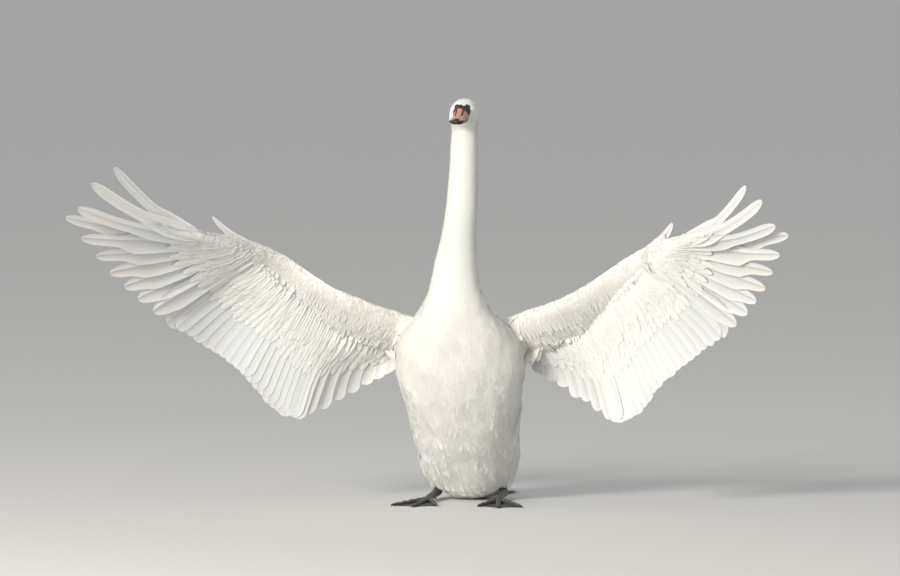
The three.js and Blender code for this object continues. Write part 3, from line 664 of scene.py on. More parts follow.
class Surface:
    """The skin as arrays, for scattering roots over it."""

    def __init__(self, mesh):
        mesh.calc_loop_triangles()
        corners = np.empty(len(mesh.loop_triangles) * 3, np.int32)
        mesh.loop_triangles.foreach_get("vertices", corners)
        self.corners = corners.reshape(-1, 3)
        self.points, self.normals = read_points(mesh), read_normals(mesh)
        a, b, c = (self.points[self.corners[:, k]] for k in range(3))
        self.area = np.linalg.norm(np.cross(b - a, c - a), axis=1) / 2
        self.middle = (a + b + c) / 3
        self.tree = tree_of(self.points)

    def height(self, points, normals):
        """How high points lie over the skin, and how far it faces the way normals do, from 0 to 1."""
        nearest = [self.tree.find(point)[1] for point in points.tolist()]
        facing = self.normals[nearest]
        agree = smooth((facing * normals).sum(1), 0.55, 0.85)
        return ((points - self.points[nearest]) * facing).sum(1), agree

    def sunk(self, points, depth, share):
        """Points moved by their share towards depth under the nearest skin, where they lie higher."""
        near = np.array([[i for _, i, _ in self.tree.find_n(point, SUNK_MEAN)] for point in points.tolist()])
        skin, facing = self.points[near].mean(1), unit(self.normals[near].mean(1))
        higher = ((points - skin) * facing).sum(1) > -depth
        return points + (skin - facing * depth - points) * (share * higher)[:, None]

    def scatter(self, where, spacing, seed):
        """Roots in the triangles of the mask where, spacing apart, and their normals. Spacing may be one
        for each triangle."""
        rng = np.random.default_rng(seed)
        spacing = np.broadcast_to(spacing, self.area.shape)
        share = np.where(where, self.area / spacing**2, 0)
        count = int(share.sum() * CROWD)
        chosen = rng.choice(len(share), count, p=share / share.sum())
        gaps = spacing[chosen].tolist()
        weights = rng.dirichlet((1, 1, 1), count)
        points = (self.points[self.corners[chosen]] * weights[..., None]).sum(1)
        normals = unit((self.normals[self.corners[chosen]] * weights[..., None]).sum(1))
        tree = tree_of(points)
        free, kept = bytearray(b"\1" * count), []
        for i, point in enumerate(points.tolist()):
            if free[i]:
                kept.append(i)
                for _, other, _ in tree.find_range(point, gaps[i]):
                    free[other] = 0
        return points[kept], normals[kept]


# -------- feathers as blades

PATCH = 0.003  # width of a feather's place on the bake map
SHARP = math.radians(70)  # between faces that meet in an edge
PAINTED_SHADE_ACROSS = ((-1, -0.6, -0.2, 0, 0.15, 0.5, 1), (0, 0.35, 0.6, 0, 1, 0.5, 0))  # painted shade across a vane: places from its leading to its trailing edge, and how dark each is painted, darkest just beside the shaft
CROWDED = 1.35  # how much closer together a blade's stations are near its tip
BLADE_REACH = 0.97  # how far a blade reaches along the skin, as a share of its length
BEND = 0.3  # most that a blade bends to follow the skin, as a share of its length
# Shares along a feather, and its width at each.
ROUND_PLUME = ((0, 0.3, 0.7, 0.9, 1), (0.5, 0.95, 1, 0.75, 0.2))
TAPERED_PLUME = ((0, 0.3, 0.66, 0.88, 1), (0.5, 0.95, 0.95, 0.6, 0.08))
POINTED_PLUME = ((0, 0.3, 0.6, 1), (0.5, 1, 0.85, 0.06))
# Kinds of blades: steps along one, its outline, the height of its ridge as a share of its width, how far it
# sways and rolls by chance, in degrees, and the skin's share in the normals that light it.
CONTOUR = {"steps": 4, "outline": ROUND_PLUME, "ridge": 0.035, "sway": 7, "roll": 2.5, "soft": 0.9}
BARBS = {"steps": 2, "outline": POINTED_PLUME, "ridge": 0.14, "sway": 10, "roll": 8, "soft": 0.85}
FACE_PLUMES = {"steps": 2, "outline": ROUND_PLUME, "ridge": 0.06, "sway": 7, "roll": 4, "soft": 0.85}
SCAPULARS = {"steps": 6, "outline": TAPERED_PLUME, "ridge": 0.04, "sway": 7, "roll": 3, "soft": 0.85}
ARM_PLUMES = {"steps": 3, "outline": TAPERED_PLUME, "ridge": 0.05, "sway": 7, "roll": 3, "soft": 0.8}
ARM_BARBS = {**BARBS, "sway": 8}


class Gathered:
    """Closed shapes gathered into one mesh."""

    def __init__(self):
        self.points, self.quads, self.triangles = [], [], []
        self.count = 0

    def take(self, points, quads, triangles):
        """Adds one shape, whose faces count its own points."""
        self.quads.append(np.asarray(quads) + self.count)
        self.triangles.append(np.asarray(triangles).reshape(-1, 3) + self.count)
        self.points.append(points)
        self.count += len(points)

    def mesh(self, name, lowest=-math.inf):
        """All the shapes as one mesh, with no point under lowest."""
        points = np.vstack(self.points)
        points[:, 2] = np.maximum(points[:, 2], lowest)
        return mesh_of(name, points, np.vstack(self.quads), np.vstack(self.triangles))


class Coat(Gathered):
    """Blades and vanes gathered for one piece of the coat."""

    def __init__(self):
        super().__init__()
        self.tint, self.dark, self.uv, self.vane = ([] for _ in range(4))
        self.soft_quads, self.soft_caps = [], []

    def add(self, points, quads, triangles, tint, uv, vane, soft=None, dark=0.0):
        """soft are the normals that light a soft coat: one a quad, and one an end triangle. dark is a painted
        shade at each point.
        """
        self.take(points, quads, triangles)
        self.tint.append(tint)
        self.uv.append(uv)
        self.vane.append(vane)
        self.dark.append(np.broadcast_to(dark, len(points)))
        if soft:
            self.soft_quads.append(np.repeat(soft[0], 4, axis=0))
            self.soft_caps.append(np.repeat(soft[1], 3, axis=0))

    def make(self, name, material, slot, replaces=()):
        """The feathers gathered so far as one piece of the coat."""
        mesh = self.mesh(name, FLOOR_GAP)
        set_number(mesh, "tint", np.concatenate(self.tint))
        # on vanes, dark is the painted shade beside each shaft; blades carry none
        set_number(mesh, "dark", np.concatenate(self.dark))
        set_vector(mesh, "vane", np.vstack(self.vane))
        set_bake_map(mesh, np.clip(np.vstack(self.uv), 0, 1))
        mesh.set_sharp_from_angle(angle=SHARP)
        if self.soft_quads:
            mesh.normals_split_custom_set(np.vstack(self.soft_quads + self.soft_caps))
        return piece(name, mesh, material, replaces)


def blades(coat, skin, roots, normals, heading, uv, rng, length, width, lift, curl, steps, outline, ridge,
           sway, roll, soft):
    """Closed three-sided blades, one a root, lying along heading and bending with the skin. Angles are in
    degrees: a blade leaves the skin at lift and ends at curl to it."""
    count, rows = len(roots), steps + 1
    s = 1 - np.linspace(1, 0, rows) ** CROWDED
    wide = np.interp(s, *outline)
    length, width = (np.broadcast_to(v, count)[:, None] for v in (length, width))
    run = unit(heading - (heading * normals).sum(1, keepdims=True) * normals)
    side = np.cross(normals, run)
    turned = np.radians(rng.normal(0, sway, (count, 1)))
    run, side = run * np.cos(turned) + side * np.sin(turned), side * np.cos(turned) - run * np.sin(turned)
    start, finish = (np.sin(np.radians(np.broadcast_to(v, count)))[:, None] for v in (lift, curl))
    rise = length * (start * s + (finish - start) * s**2 / 2)
    over, agree = skin.height(roots + run * length, normals)
    rise = rise - np.clip((over * agree)[:, None], -BEND * length, BEND * length) * s**2
    drift = length * rng.normal(0, 0.05, (count, 1)) * s**2
    rolled = np.radians(rng.normal(0, roll, (count, 1)))
    across = side * np.cos(rolled) + normals * np.sin(rolled)
    up = normals * np.cos(rolled) - side * np.sin(rolled)
    along = run[:, None] * (length * s)[..., None] * BLADE_REACH
    centre = roots[:, None] + along + normals[:, None] * rise[..., None] + side[:, None] * drift[..., None]
    half = (width * wide / 2)[..., None]
    left, right = centre - across[:, None] * half, centre + across[:, None] * half
    top = centre + up[:, None] * half * ridge * 2
    points = np.stack([left, top, right], 2).reshape(-1, 3)
    quads, caps = blade_faces(count, rows)
    spread = np.stack([np.tile((-0.5, 0, 0.5), rows), np.repeat(s - 0.5, 3)], 1) * PATCH
    place = (uv[:, None] + spread).reshape(-1, 2)
    lit = unit(normals * soft + up * (1 - soft))
    tint = np.repeat(rng.random(count), rows * 3)
    faced = np.repeat([1.0, 1, -1], steps)[None, :, None] * lit[:, None]
    shading = faced.reshape(-1, 3), np.repeat(lit, 2, axis=0)
    coat.add(points, quads, caps, tint, place, np.zeros((len(points), 3)), shading)


def blade_faces(count, rows):
    """Quads and end triangles of count blades, each with rows of a left, a ridge and a right point."""
    i = np.arange(rows - 1) * 3
    edges = ((0, 1), (1, 2), (2, 0))
    one = np.concatenate([np.stack([i + a, i + a + 3, i + b + 3, i + b], 1) for a, b in edges])
    last = (rows - 1) * 3
    caps = np.array([(0, 1, 2), (last, last + 2, last + 1)])
    shift = np.arange(count)[:, None, None] * rows * 3
    return (one + shift).reshape(-1, 4), (caps + shift).reshape(-1, 3)


def vane(coat, line, face, lead, trail, rng, uv, flip, tilt, dip=0.05, thick=0.6, rachis=1.1,
         columns=PAINTED_SHADE_ACROSS[0], ragged=0.01, patch=PATCH, soft=0.0):
    """One feather as a closed thin vane along line, its upper side towards face. lead and trail are the
    widths of its two sides at each station, tilt turns it about its shaft, and dip hollows its underside.
    thick is its own thickness and rachis the shaft's, in millimetres. soft is the share of face in the
    normals that light it."""
    rows = len(line)
    run = unit(np.gradient(line, axis=0))
    side = unit(np.cross(face, run)) * flip
    up = np.cross(run, side) * flip
    c = np.asarray(columns, float)
    width = np.where(c < 0, lead[:, None], trail[:, None])
    offset = width * c
    offset = offset * (1 + rng.normal(0, ragged, offset.shape) * (np.abs(c) > 0.9))
    offset = offset + (lead - trail)[:, None] / 2
    angle = math.radians(tilt)
    bow = np.sin(np.abs(c) * math.pi) * dip
    lifted = bow * width - offset * math.sin(angle)
    body = line[:, None] + side[:, None] * (offset * math.cos(angle))[..., None]
    body = body + up[:, None] * lifted[..., None]
    shaft = bell(c, 0.07)
    along = np.linspace(0, 1, rows)
    thickness = (thick * (1 - 0.55 * np.abs(c)) + 2 * rachis * shaft * (1 - 0.85 * along[:, None])) * MM
    half = up[:, None] * thickness[..., None] / 2
    points = np.concatenate([body + half, (body - half)[:, ::-1]], 1).reshape(-1, 3)
    around = len(c) * 2
    quads = ring_quads(rows, around)[:, ::-flip]
    k = np.arange(len(c) - 1)
    ends = np.stack([k, k + 1, around - 2 - k, k, around - 2 - k, around - 1 - k], 1).reshape(-1, 2, 3)
    caps = np.concatenate([ends, (rows - 1) * around + ends[..., ::-1]], 1)[..., ::flip].reshape(-1, 3)
    flat = np.concatenate([c, c[::-1]])
    spread = np.stack(np.broadcast_arrays(flat[None] * 0.5, along[:, None] - 0.5), -1).reshape(-1, 2)
    sides = np.concatenate([offset, offset[:, ::-1]], 1) / MM
    barbs = np.abs(sides) * 0.8 + (walked(line) / MM)[:, None]
    where = np.stack([barbs, sides * 0.02, 0 * barbs], -1).reshape(-1, 3)
    # painted shade across the vane, darkest just beside its shaft
    painted_shade = np.interp(flat, *PAINTED_SHADE_ACROSS) * np.ones((rows, 1))
    shading = None
    if soft:
        lit = unit(face * soft + up * (1 - soft))
        outward = np.where(np.arange(around) < len(c), 1, -1)
        faced = lit[:-1, None] * outward[None, :, None]
        shading = faced.reshape(-1, 3), np.tile(lit[[0, 0, -1, -1]], (len(c) - 1, 1))
    tint = np.full(len(points), rng.random())
    coat.add(points, quads, caps, tint, spread * patch + uv, where, shading, painted_shade.ravel())


# -------- coat of the body


def bake_place(points):
    """A place on the body's unwrap: round the bird, and along it."""
    _, place = lie_of_body(points)
    nearest = np.clip(np.searchsorted(LINE_REACH, place), 0, len(LINE) - 1)
    centre, run = LINE[nearest], LINE_RUN[nearest]
    outward = points - centre
    upward = np.cross(run, np.tile((1.0, 0, 0), (len(run), 1)))
    around = np.arctan2(outward[:, 0], (outward * upward).sum(1)) / (2 * math.pi) + 0.5
    return fitted(np.stack([around, place], 1))


def fitted(uv):
    """Stretches places to the whole of the bake map."""
    low, high = uv.min(0), uv.max(0)
    return 0.01 + 0.98 * (uv - low) / np.maximum(high - low, 1e-6)


def wing_place(points, side):
    """A place on a wing's unwrap: out along it, and round it."""
    p = mirrored(points, side)
    out = closeness(p, metres(ARM_MIDDLE), 0.06) @ np.arange(len(ARM_MIDDLE))
    lead, trail = metres(spline(ARM_LEAD, out)), metres(spline(ARM_TRAIL, out))
    chord = trail - lead
    back = ((p - lead) * chord).sum(1) / (chord**2).sum(1)
    upper = p[:, 1] > ((lead + trail) / 2)[:, 1]
    return fitted(np.stack([out, np.where(upper, 2.2 - back, back)], 1))


# Where the parts of the skin meet. The head's limits are forward and up in its own frame, in millimetres.
HEAD_FROM = (-12, -46)
NECK_FROM, BELLY_TO = 0.50, 0.26  # heights in metres
BACK_FROM = ((0.02, 0.2, 0.45), (0.09, -0.06, -0.28))  # heights, and the Y that the back begins at


def body_regions(surface):
    """Named parts of the skin, as masks of its triangles."""
    middle = surface.middle
    forward, _, up = of_head(middle)
    head = (forward > HEAD_FROM[0]) & (up > HEAD_FROM[1])
    wing = on_wing(middle) > 0.5
    neck = (middle[:, 2] > NECK_FROM) & ~head & ~wing
    trunk = ~head & ~wing & ~neck
    behind = middle[:, 1] > np.interp(middle[:, 2], *BACK_FROM)
    front, high = trunk & ~behind, middle[:, 2] > BELLY_TO
    return {"head": head, "wing": wing, "neck": neck, "back": trunk & behind, "chest": front & high,
            "belly": front & ~high}


# Feathers along the bird: millimetres from the bill's tip, spacing, length and width, and lift in degrees.
PLUMES = np.array(
    [
        (60, 1.2, 3.8, 1.1, 3.2),
        (110, 1.35, 4.8, 1.4, 3.2),
        (170, 1.9, 7.5, 2.2, 3.2),
        (240, 2.6, 11, 3.2, 3.5),
        (420, 3.4, 15, 4.4, 4),
        (560, 4.2, 19, 6, 3.2),
        (700, 5.4, 25, 8.5, 2.4),
        (900, 6.4, 31, 10.5, 2),
        (1150, 8, 42, 15, 2.6),
        (1300, 8.5, 56, 17, 4),
    ],
    float,
)
# The layer of fine loose barbs: how far apart they are, as a share of the contour feathers' spacing, and how
# much they stand out.
FINE_DENSITY = {"neck": 0.75, "chest": 0.37, "belly": 0.35, "back": 0.5}
FLUFF = {"neck": 1.0, "chest": 1.0, "belly": 1.0, "back": 0.6}
FINE_LENGTH = 0.62  # of a contour feather's
FACE_END = 103  # millimetres forward in the head, where its feathers end under the bill
# Scapulars, in metres, with lift and curl in degrees.
SCAPULAR = {"spacing": 0.0085, "length": 0.058, "width": 0.017, "lift": 4.5, "curl": -1}
SEEDS = {"neck": 31, "chest": 21, "belly": 24, "back": 27, "head": 41, "shoulders": 45, "wing": 51,
         "flight": 61, "alula": 71, "coverts": 81, "tail": 91}
# Layers of the wing's short feathers: ending of the name, spacing in metres, and share of the length.
ARM_LAYERS = (("", 0.0056, 1.0), ("_fine", 0.0036, 0.85))


def plume_sizes(points):
    """Spacing, length and width in metres, and lift in degrees, of the feathers at points."""
    _, place = lie_of_body(points)
    spacing, length, width, lift = (np.interp(place, PLUMES[:, 0], PLUMES[:, k]) for k in (1, 2, 3, 4))
    return spacing * MM, length * MM, width * MM, lift


def flank_tufts(roots, normals):
    """1 in the tufts that stand out of the flanks under the wings."""
    low, high = smooth(roots[:, 2], 0.16, 0.24), smooth(0.43 - roots[:, 2], 0, 0.05)
    flank = smooth(np.abs(normals[:, 0]), 0.7, 0.9) * low * high
    flank = flank * np.where(roots[:, 0] > 0, 1, 0.3)
    return flank * smooth(ripple(roots, 0.028, 25), 0.3, 0.9) * smooth(-roots[:, 1], -0.02, 0.04)


def coat_body(name, surface, where, material):
    """Contour feathers, and the fine loose barbs over them."""
    seed = SEEDS[name]
    spacing = plume_sizes(surface.middle)[0]
    for layer, density, share in (("", 1.0, 1.0), ("_fine", FINE_DENSITY[name], FINE_LENGTH)):
        coat = Coat()
        rng = np.random.default_rng(seed)
        roots, normals = surface.scatter(where, spacing * density, seed)
        heading = lie(roots)
        _, length, width, lift = plume_sizes(roots)
        ruffled = ripple(roots, 0.03, seed + 1) + 0.6 * ripple(roots, 0.011, seed + 2)
        tuft = flank_tufts(roots, normals)
        length = length * share * rng.uniform(0.82, 1.2, len(roots))
        place = bake_place(roots)
        if layer:
            swept = 0.16 * np.cross(normals, heading) * ripple(roots, 0.012, seed + 3)[:, None]
            heading = unit(heading + swept)
            roots = roots + normals * length[:, None] * 0.06
            width = np.clip(width * 0.2, 0.0011, 0.0021)
            out = 20 * tuft * rng.uniform(0.4, 1.2, len(roots))
            lift = lift + FLUFF[name] * (1.5 + 1.8 * ruffled) + out
            curl = 0.5 + ruffled + 12 * tuft
            kind = BARBS
        else:
            lift = lift + ruffled + 5 * tuft
            curl = 0.3 + 0.6 * ruffled
            kind = CONTOUR
        blades(coat, surface, roots, normals, heading, place, rng, length, width, lift, curl, **kind)
        coat.make(f"coat_{name}{layer}", material, "plumage")


def coat_head(surface, where, material):
    """Short dense feathers, all but the bare face and the eyes."""
    seed = SEEDS["head"]
    coat = Coat()
    rng = np.random.default_rng(seed)
    roots, normals = surface.scatter(where, plume_sizes(surface.middle)[0], seed)
    forward, side, up = of_head(roots)
    from_eye = np.stack([forward - EYE["forward"], np.abs(side) - EYE["side"] - 2, up - EYE["up"]], 1)
    keep = (bare_face(roots) < 0.3) & (forward < FACE_END)
    keep &= np.linalg.norm(from_eye, axis=1) > EYE["radius"] + 0.6
    roots, normals = roots[keep], normals[keep]
    _, length, width, lift = plume_sizes(roots)
    length = length * rng.uniform(0.85, 1.2, len(roots))
    blades(coat, surface, roots, normals, lie(roots), bake_place(roots), rng, length, width, lift, 1,
           **FACE_PLUMES)
    coat.make("coat_head", material, "plumage")


def coat_shoulders(surface, material):
    """Scapulars: long feathers from the shoulders down over the sides of the back."""
    coat = Coat()
    rng = np.random.default_rng(SEEDS["shoulders"])
    middle = surface.middle
    out = np.abs(middle[:, 0])
    behind = middle[:, 1] > np.interp(out, (0.08, 0.24), (-0.22, -0.16))
    where = behind & (out > 0.07) & (out < 0.2) & (middle[:, 2] > 0.3)
    roots, normals = surface.scatter(where, SCAPULAR["spacing"], SEEDS["shoulders"])
    backward = normals[:, 1] > 0.35
    roots, normals = roots[backward], normals[backward]
    heading, _ = lie_of_body(roots)
    length = SCAPULAR["length"] * rng.uniform(0.8, 1.2, len(roots))
    blades(coat, surface, roots, normals, heading, bake_place(roots), rng, length, SCAPULAR["width"],
           SCAPULAR["lift"], SCAPULAR["curl"], **SCAPULARS)
    coat.make("coat_shoulders", material, "plumage")


def coat_wing(name, side, surface, wing, material):
    """The short feathers over the wing's flesh, longer towards its trailing edge."""
    where = wing & (surface.middle[:, 0] * side > 0)
    seed = SEEDS["wing"] + side
    trail = metres(spline(ARM_TRAIL, np.linspace(0, len(ARM_TRAIL) - 1, 65)))
    for layer, spacing, share in ARM_LAYERS:
        coat = Coat()
        rng = np.random.default_rng(seed)
        roots, normals = surface.scatter(where, spacing, seed)
        heading = lie(roots)
        p = mirrored(roots, side)
        back = behind_edge(p)
        below = smooth(-(mirrored(normals, side) @ ARM_FACE), -0.2, 0.4)
        wrist = bell(np.linalg.norm(p - metres(WRIST), axis=1), 0.09) * below
        fringe = bell(back, 0.13, 0.42) * below * (1 - wrist)
        loose = smooth(ripple(p, 0.024, 55), -0.1, 0.8) * (0.3 * back + 1.5 * wrist)
        length = (0.011 + 0.027 * back) * share * rng.uniform(0.8, 1.2, len(roots))
        length = length * (1 + 0.3 * loose + 0.6 * fringe)
        behind = np.linalg.norm(p[:, None] - trail, axis=2).min(1)
        length = np.where(below > 0.3, length, np.minimum(length, behind + 0.008))
        lift = 4.5 + 1.2 * ripple(p, 0.012, 56) + 13 * loose + 6 * fringe
        curl = 1 + 6 * loose + 3 * fringe
        place = wing_place(roots, side)
        kind, width = ARM_PLUMES, 0.0055 + 0.0035 * back
        if layer:
            kind, width = ARM_BARBS, 0.0016 + 0.0012 * back
            roots = roots + normals * 0.0012
        blades(coat, surface, roots, normals, heading, place, rng, length, width, lift, curl, **kind)
        coat.make(f"coat_wing_{name}{layer}", material, "plumage")


def behind_edge(points):
    """0 at the left wing's leading edge, rising to 1 well behind it."""
    lead = metres(ARM_LEAD)
    edge = closeness(points, lead, 0.05) @ lead
    return smooth(np.linalg.norm(points - edge, axis=1), 0.01, 0.09)


# -------- wings


def spacing_at(lines, i, t):
    """Half the gap to the neighbouring feathers at each t, in metres."""
    gaps = []
    for j in (i - 1, i + 1):
        if 0 <= j < len(lines):
            gaps.append(np.linalg.norm(lines[i](t) - lines[j](t), axis=1))
    return np.mean(gaps, axis=0) / 2


def rounded(t, start, power):
    """1 until start, then a round tip."""
    past = np.clip((t - start) / (1 - start), 0, 1)
    return np.maximum(1 - past**power, 0) ** 0.5


def stations(count, crowd=1.6):
    """Shares along a feather, closer together near its tip."""
    u = np.linspace(0, 1, count)
    return 1 - (1 - u) ** crowd


def wing_feather_lines(side):
    """Every flight feather's line, as a function of the share along it, and the way its upper side faces."""
    roots, tips, bends, faces = wing_lines(1 if side == RIGHT else -1)

    def line(i):
        return lambda t: mirrored(metres(bezier(roots[i], tips[i], bends[i], t)), side)

    return [line(i) for i in range(len(roots))], mirrored(faces, side)


def upper_side(lines, faces, i, t):
    """The way the wing faces at each t of feather i: as at its root, then as its neighbours lie."""
    across = lines[min(i + 1, len(lines) - 1)](t) - lines[max(i - 1, 0)](t)
    own = unit(np.cross(across, np.gradient(lines[i](t), axis=0)))
    own = own * np.sign(own @ faces[i])[:, None]
    share = 0.9 * smooth(t, 0, 0.3)[:, None]
    return unit(faces[i] * (1 - share) + own * share)


TIP_HALF = 0.0006  # half width that a feather keeps at its ends
BIG_PATCH = 0.08  # width of a flight feather's place on the bake map
# How flight feathers lie: tilt in degrees, hollow, the shaft's thickness in millimetres, and how much shorter
# some of them are.
VANES = {"primaries": (5, 0.12, 1.3, 0.01), "secondaries": (1.8, 0.02, 0.6, 0.025),
         "tertials": (3, 0.06, 0.7, 0.07)}
# Half width as a share of the gap, the least one in metres, and where and how the tip rounds.
WIDTHS = {"secondaries": (1.35, 0.022, 0.88, 2.4), "tertials": (1.1, 0.021, 0.84, 2.0)}


def flight_feathers(name, side, material):
    """Primaries, secondaries and tertials, each group in one piece, and the alula."""
    lines, faces = wing_feather_lines(side)
    t = stations(26)
    groups = {
        "primaries": (FIRST_PRIMARY, FIRST_PRIMARY + len(PRIMARY_TIPS)),
        "secondaries": (TERTIALS, FIRST_PRIMARY),
        "tertials": (0, TERTIALS),
    }
    for group, (first, last) in groups.items():
        tilt, dip, rachis, uneven = VANES[group]
        coat = Coat()
        rng = np.random.default_rng(SEEDS["flight"] + side + first)
        for i in range(first, last):
            gap = spacing_at(lines, i, t)
            if group == "primaries":
                half = primary_half(i - first, gap, t)
            else:
                share, least, start, power = WIDTHS[group]
                half = np.maximum(share * gap, least) * rounded(t, start, power)
            turned = rng.normal(0, 1.2) if group == "tertials" else 0
            half = half * np.interp(t, (0, 0.12, 0.3), (0.25, 0.7, 1)) + TIP_HALF
            uv = np.array(((i - first + 0.5) / (last - first), 0.5))
            shorter = 1 - uneven * rng.random()
            vane(coat, lines[i](t * shorter), upper_side(lines, faces, i, t), 0.7 * half, 1.3 * half, rng, uv,
                 side, tilt + turned, dip, thick=0.5, rachis=rachis, patch=BIG_PATCH)
        parts = ("secondaries_outer", "secondaries_inner") if group == "secondaries" else (group,)
        coat.make(f"{group}_vanes_{name}", material, "vane", [f"{part}_{name}" for part in parts])
    alula(name, side, material)


def primary_half(i, gap, t):
    """Half width of a primary: full as far as its notch, then a finger."""
    share = i / (len(PRIMARY_TIPS) - 1)
    finger = np.interp(share, (0, 0.5, 1), FINGER_WIDTH) / 2 * MM
    full = np.clip(1.3 * gap, 0.022, 0.034)
    narrowed = full + (finger - full) * smooth(t, PRIMARY_NOTCH[i] - 0.16, PRIMARY_NOTCH[i] + 0.02)
    return np.minimum(narrowed, full) * rounded(t, 0.84 + 0.04 * share, 2.0)


def alula(name, side, material):
    """Three small feathers at the wrist."""
    coat = Coat()
    rng = np.random.default_rng(SEEDS["alula"] + side)
    t = stations(16)
    first, tip = np.array(ALULA["root"], float), np.array(ALULA["tip"])
    shift, wide = np.zeros(3), ALULA["width"]
    if side == LEFT:
        shift, wide = CLOSED_ALULA["shift"], wide * CLOSED_ALULA["width"]
    half = wide * MM / 2 * rounded(t, 0.6, 2.0) * np.interp(t, (0, 0.3), (0.3, 1)) + 0.0005
    for i, (share, aside) in enumerate(((1.0, 0), (0.74, 7), (0.5, 13))):
        root = first + (0, 2, -0.6 * aside)
        end = root + (tip - first) * share + (0.5 * aside, 0, -0.8 * aside) + shift
        line = mirrored(metres(bezier(root, end, ALULA["bend"], t)), side)
        place = np.array((0.2 + 0.3 * i, 0.5))
        vane(coat, line, mirrored(unit(HAND_FACE), side), 0.8 * half, 1.2 * half, rng, place, side, 6, 0.1,
             patch=BIG_PATCH)
    coat.make(f"alula_vanes_{name}", material, "vane", [f"alula_{name}"])


# Rows of coverts: where a row's tips and roots are along the flight feathers, how many feathers it has to
# each flight feather, its height over them at the root and at the tip, in millimetres, and how loose it is.
COVERT_ROWS = (
    (0.54, -0.06, 1.15, 1.0, 1.6, 0.4),
    (0.42, -0.08, 1.5, 1.5, 3.0, 0.7),
    (0.31, -0.1, 1.9, 2.0, 4.6, 1.0),
)
COVERT_HALF = (0.0075, 0.0135)  # least and most half width
COVERT_SUNK = 0.003  # how deep under the skin their roots are
# How far the loosest row strays by chance, in length, aside and in tilt, and how many millimetres it bulges.
STRAY = {"length": 0.09, "aside": 0.25, "tilt": 2.2, "bulge": 1.3}


def coverts(name, side, surface, material):
    """Rows of coverts over the bases of the flight feathers, on the wing's under and upper side."""
    lines, faces = wing_feather_lines(side)
    total = len(lines)
    t = stations(11, 1.4)
    outline = rounded(t, 0.66, 1.9) * np.interp(t, (0, 0.35), (0.25, 1))
    for where, sign in (("under", -1), ("upper", 1)):
        coat = Coat()
        rng = np.random.default_rng(SEEDS["coverts"] + side + 7 * sign)
        for reach, root, crowd, root_height, tip_height, loose in COVERT_ROWS:
            for u in np.arange(0.8, total - 1, 1 / crowd):
                low = min(int(u), total - 2)
                part = u - low
                shorter = 1 - 0.38 * smooth(u, FIRST_PRIMARY + 2, total - 3)
                end = reach * shorter * (1 + STRAY["length"] * loose * rng.normal())
                along = root + (end - root) * t
                sides = [upper_side(lines, faces, k, along) for k in (low, low + 1)]
                face = unit(sides[0] * (1 - part) + sides[1] * part)
                swung = (part + STRAY["aside"] * loose * rng.normal() * t**2)[:, None]
                centre = lines[low](along) * (1 - swung) + lines[low + 1](along) * swung
                height = root_height + (tip_height - root_height) * t
                height = height + STRAY["bulge"] * loose * np.sin(math.pi * t)
                line = centre + face * sign * (height * MM)[:, None]
                line = surface.sunk(line, COVERT_SUNK, 1 - smooth(t, 0.1, 0.45))
                gap = np.linalg.norm(lines[low](along[-1:]) - lines[low + 1](along[-1:]))
                half = np.clip(0.75 * gap / crowd, *COVERT_HALF) * outline
                place = np.array((0.02 + 0.96 * u / total, 0.1 + 0.8 * (1 - reach)))
                vane(coat, line, face, 0.85 * half + 0.0004, 1.15 * half + 0.0004, rng, place, side,
                     tilt=3 + STRAY["tilt"] * loose * rng.normal(), dip=-0.08 * sign, thick=0.5, rachis=0.4,
                     columns=(-1, -0.45, 0, 0.45, 1), ragged=0.05, soft=0.55)
        coat.make(f"coverts_{where}_{name}", material, "plumage")


# -------- tail


def tail_feathers(material):
    """A short rounded fan, flat on the floor."""
    coat = Coat()
    rng = np.random.default_rng(SEEDS["tail"])
    t = stations(18)
    half = 0.0175 * rounded(t, 0.55, 1.7) * np.interp(t, (0, 0.2), (0.5, 1)) + TIP_HALF
    first = np.array(TAIL["root"], float)
    for i in range(TAIL["feathers"]):
        s = (i + 0.5) / TAIL["feathers"]
        angle = math.radians(TAIL["spread"] * (s - 0.5))
        outward = (2 * s - 1) ** 2
        root = first + (TAIL["root_width"] * (s - 0.5), 0, 4 * (1 - outward))
        reach = TAIL["length"] * (1 - 0.27 * outward) * rng.uniform(0.94, 1.0)
        tip = first + np.array((math.sin(angle), math.cos(angle), 0)) * reach
        tip[2] = 3.2 + TAIL["lift"] * (1 - outward)
        line = metres(bezier(root, tip, (0, 0, 1), t))
        flip = 1 if s > 0.5 else -1
        vane(coat, line, np.array((0.0, 0, 1)), half, half, rng, np.array((s, 0.5)), flip, -5, patch=0.04)
    coat.make("tail_vanes", material, "vane", ["tail"])


# -------- head


def bill_edge(forward):
    """Height of the upper bill's cutting edge."""
    return np.interp(forward, (BILL[0, 0], BILL[-1, 0]), BILL_EDGE)


def bill_marks(forward, side, up):
    """1 where the bill is black: base, knob, nostrils, cutting edge and nail."""
    low = up - bill_edge(forward)
    edge = 1 - smooth(low, 1.0 + 3.4 * smooth(forward, 158, 178), 2.0 + 4.2 * smooth(forward, 158, 178))
    base = 1 - smooth(forward + 0.55 * np.abs(side) - 0.2 * low, 106, 109.5)
    beside = smooth(106 - forward - 0.9 * low, -1, 1)
    inner = np.abs(side) - 8.6 + 0.02 * (forward - 110)
    stripe = (1 - smooth(np.abs(inner), 1.6, 2.8)) * (1 - smooth(forward, 141, 147))
    nail = 1 - smooth(np.hypot((forward - NAIL["forward"]) / NAIL["length"], side / NAIL["width"]), 0.8, 0.98)
    knob = smooth(swelling(KNOB, forward, side), 0, 0.12) * smooth(low, 16, 20)
    return np.clip(np.max([edge, base, beside, stripe, nail, knob], axis=0), 0, 1)


def swelling(sizes, forward, side, power=2.0):
    """A round bump, 1 at its middle and 0 at its edge."""
    away = ((forward - sizes["forward"]) / sizes["length"]) ** 2 + (side / sizes["width"]) ** 2
    return np.maximum(1 - away, 0) ** power


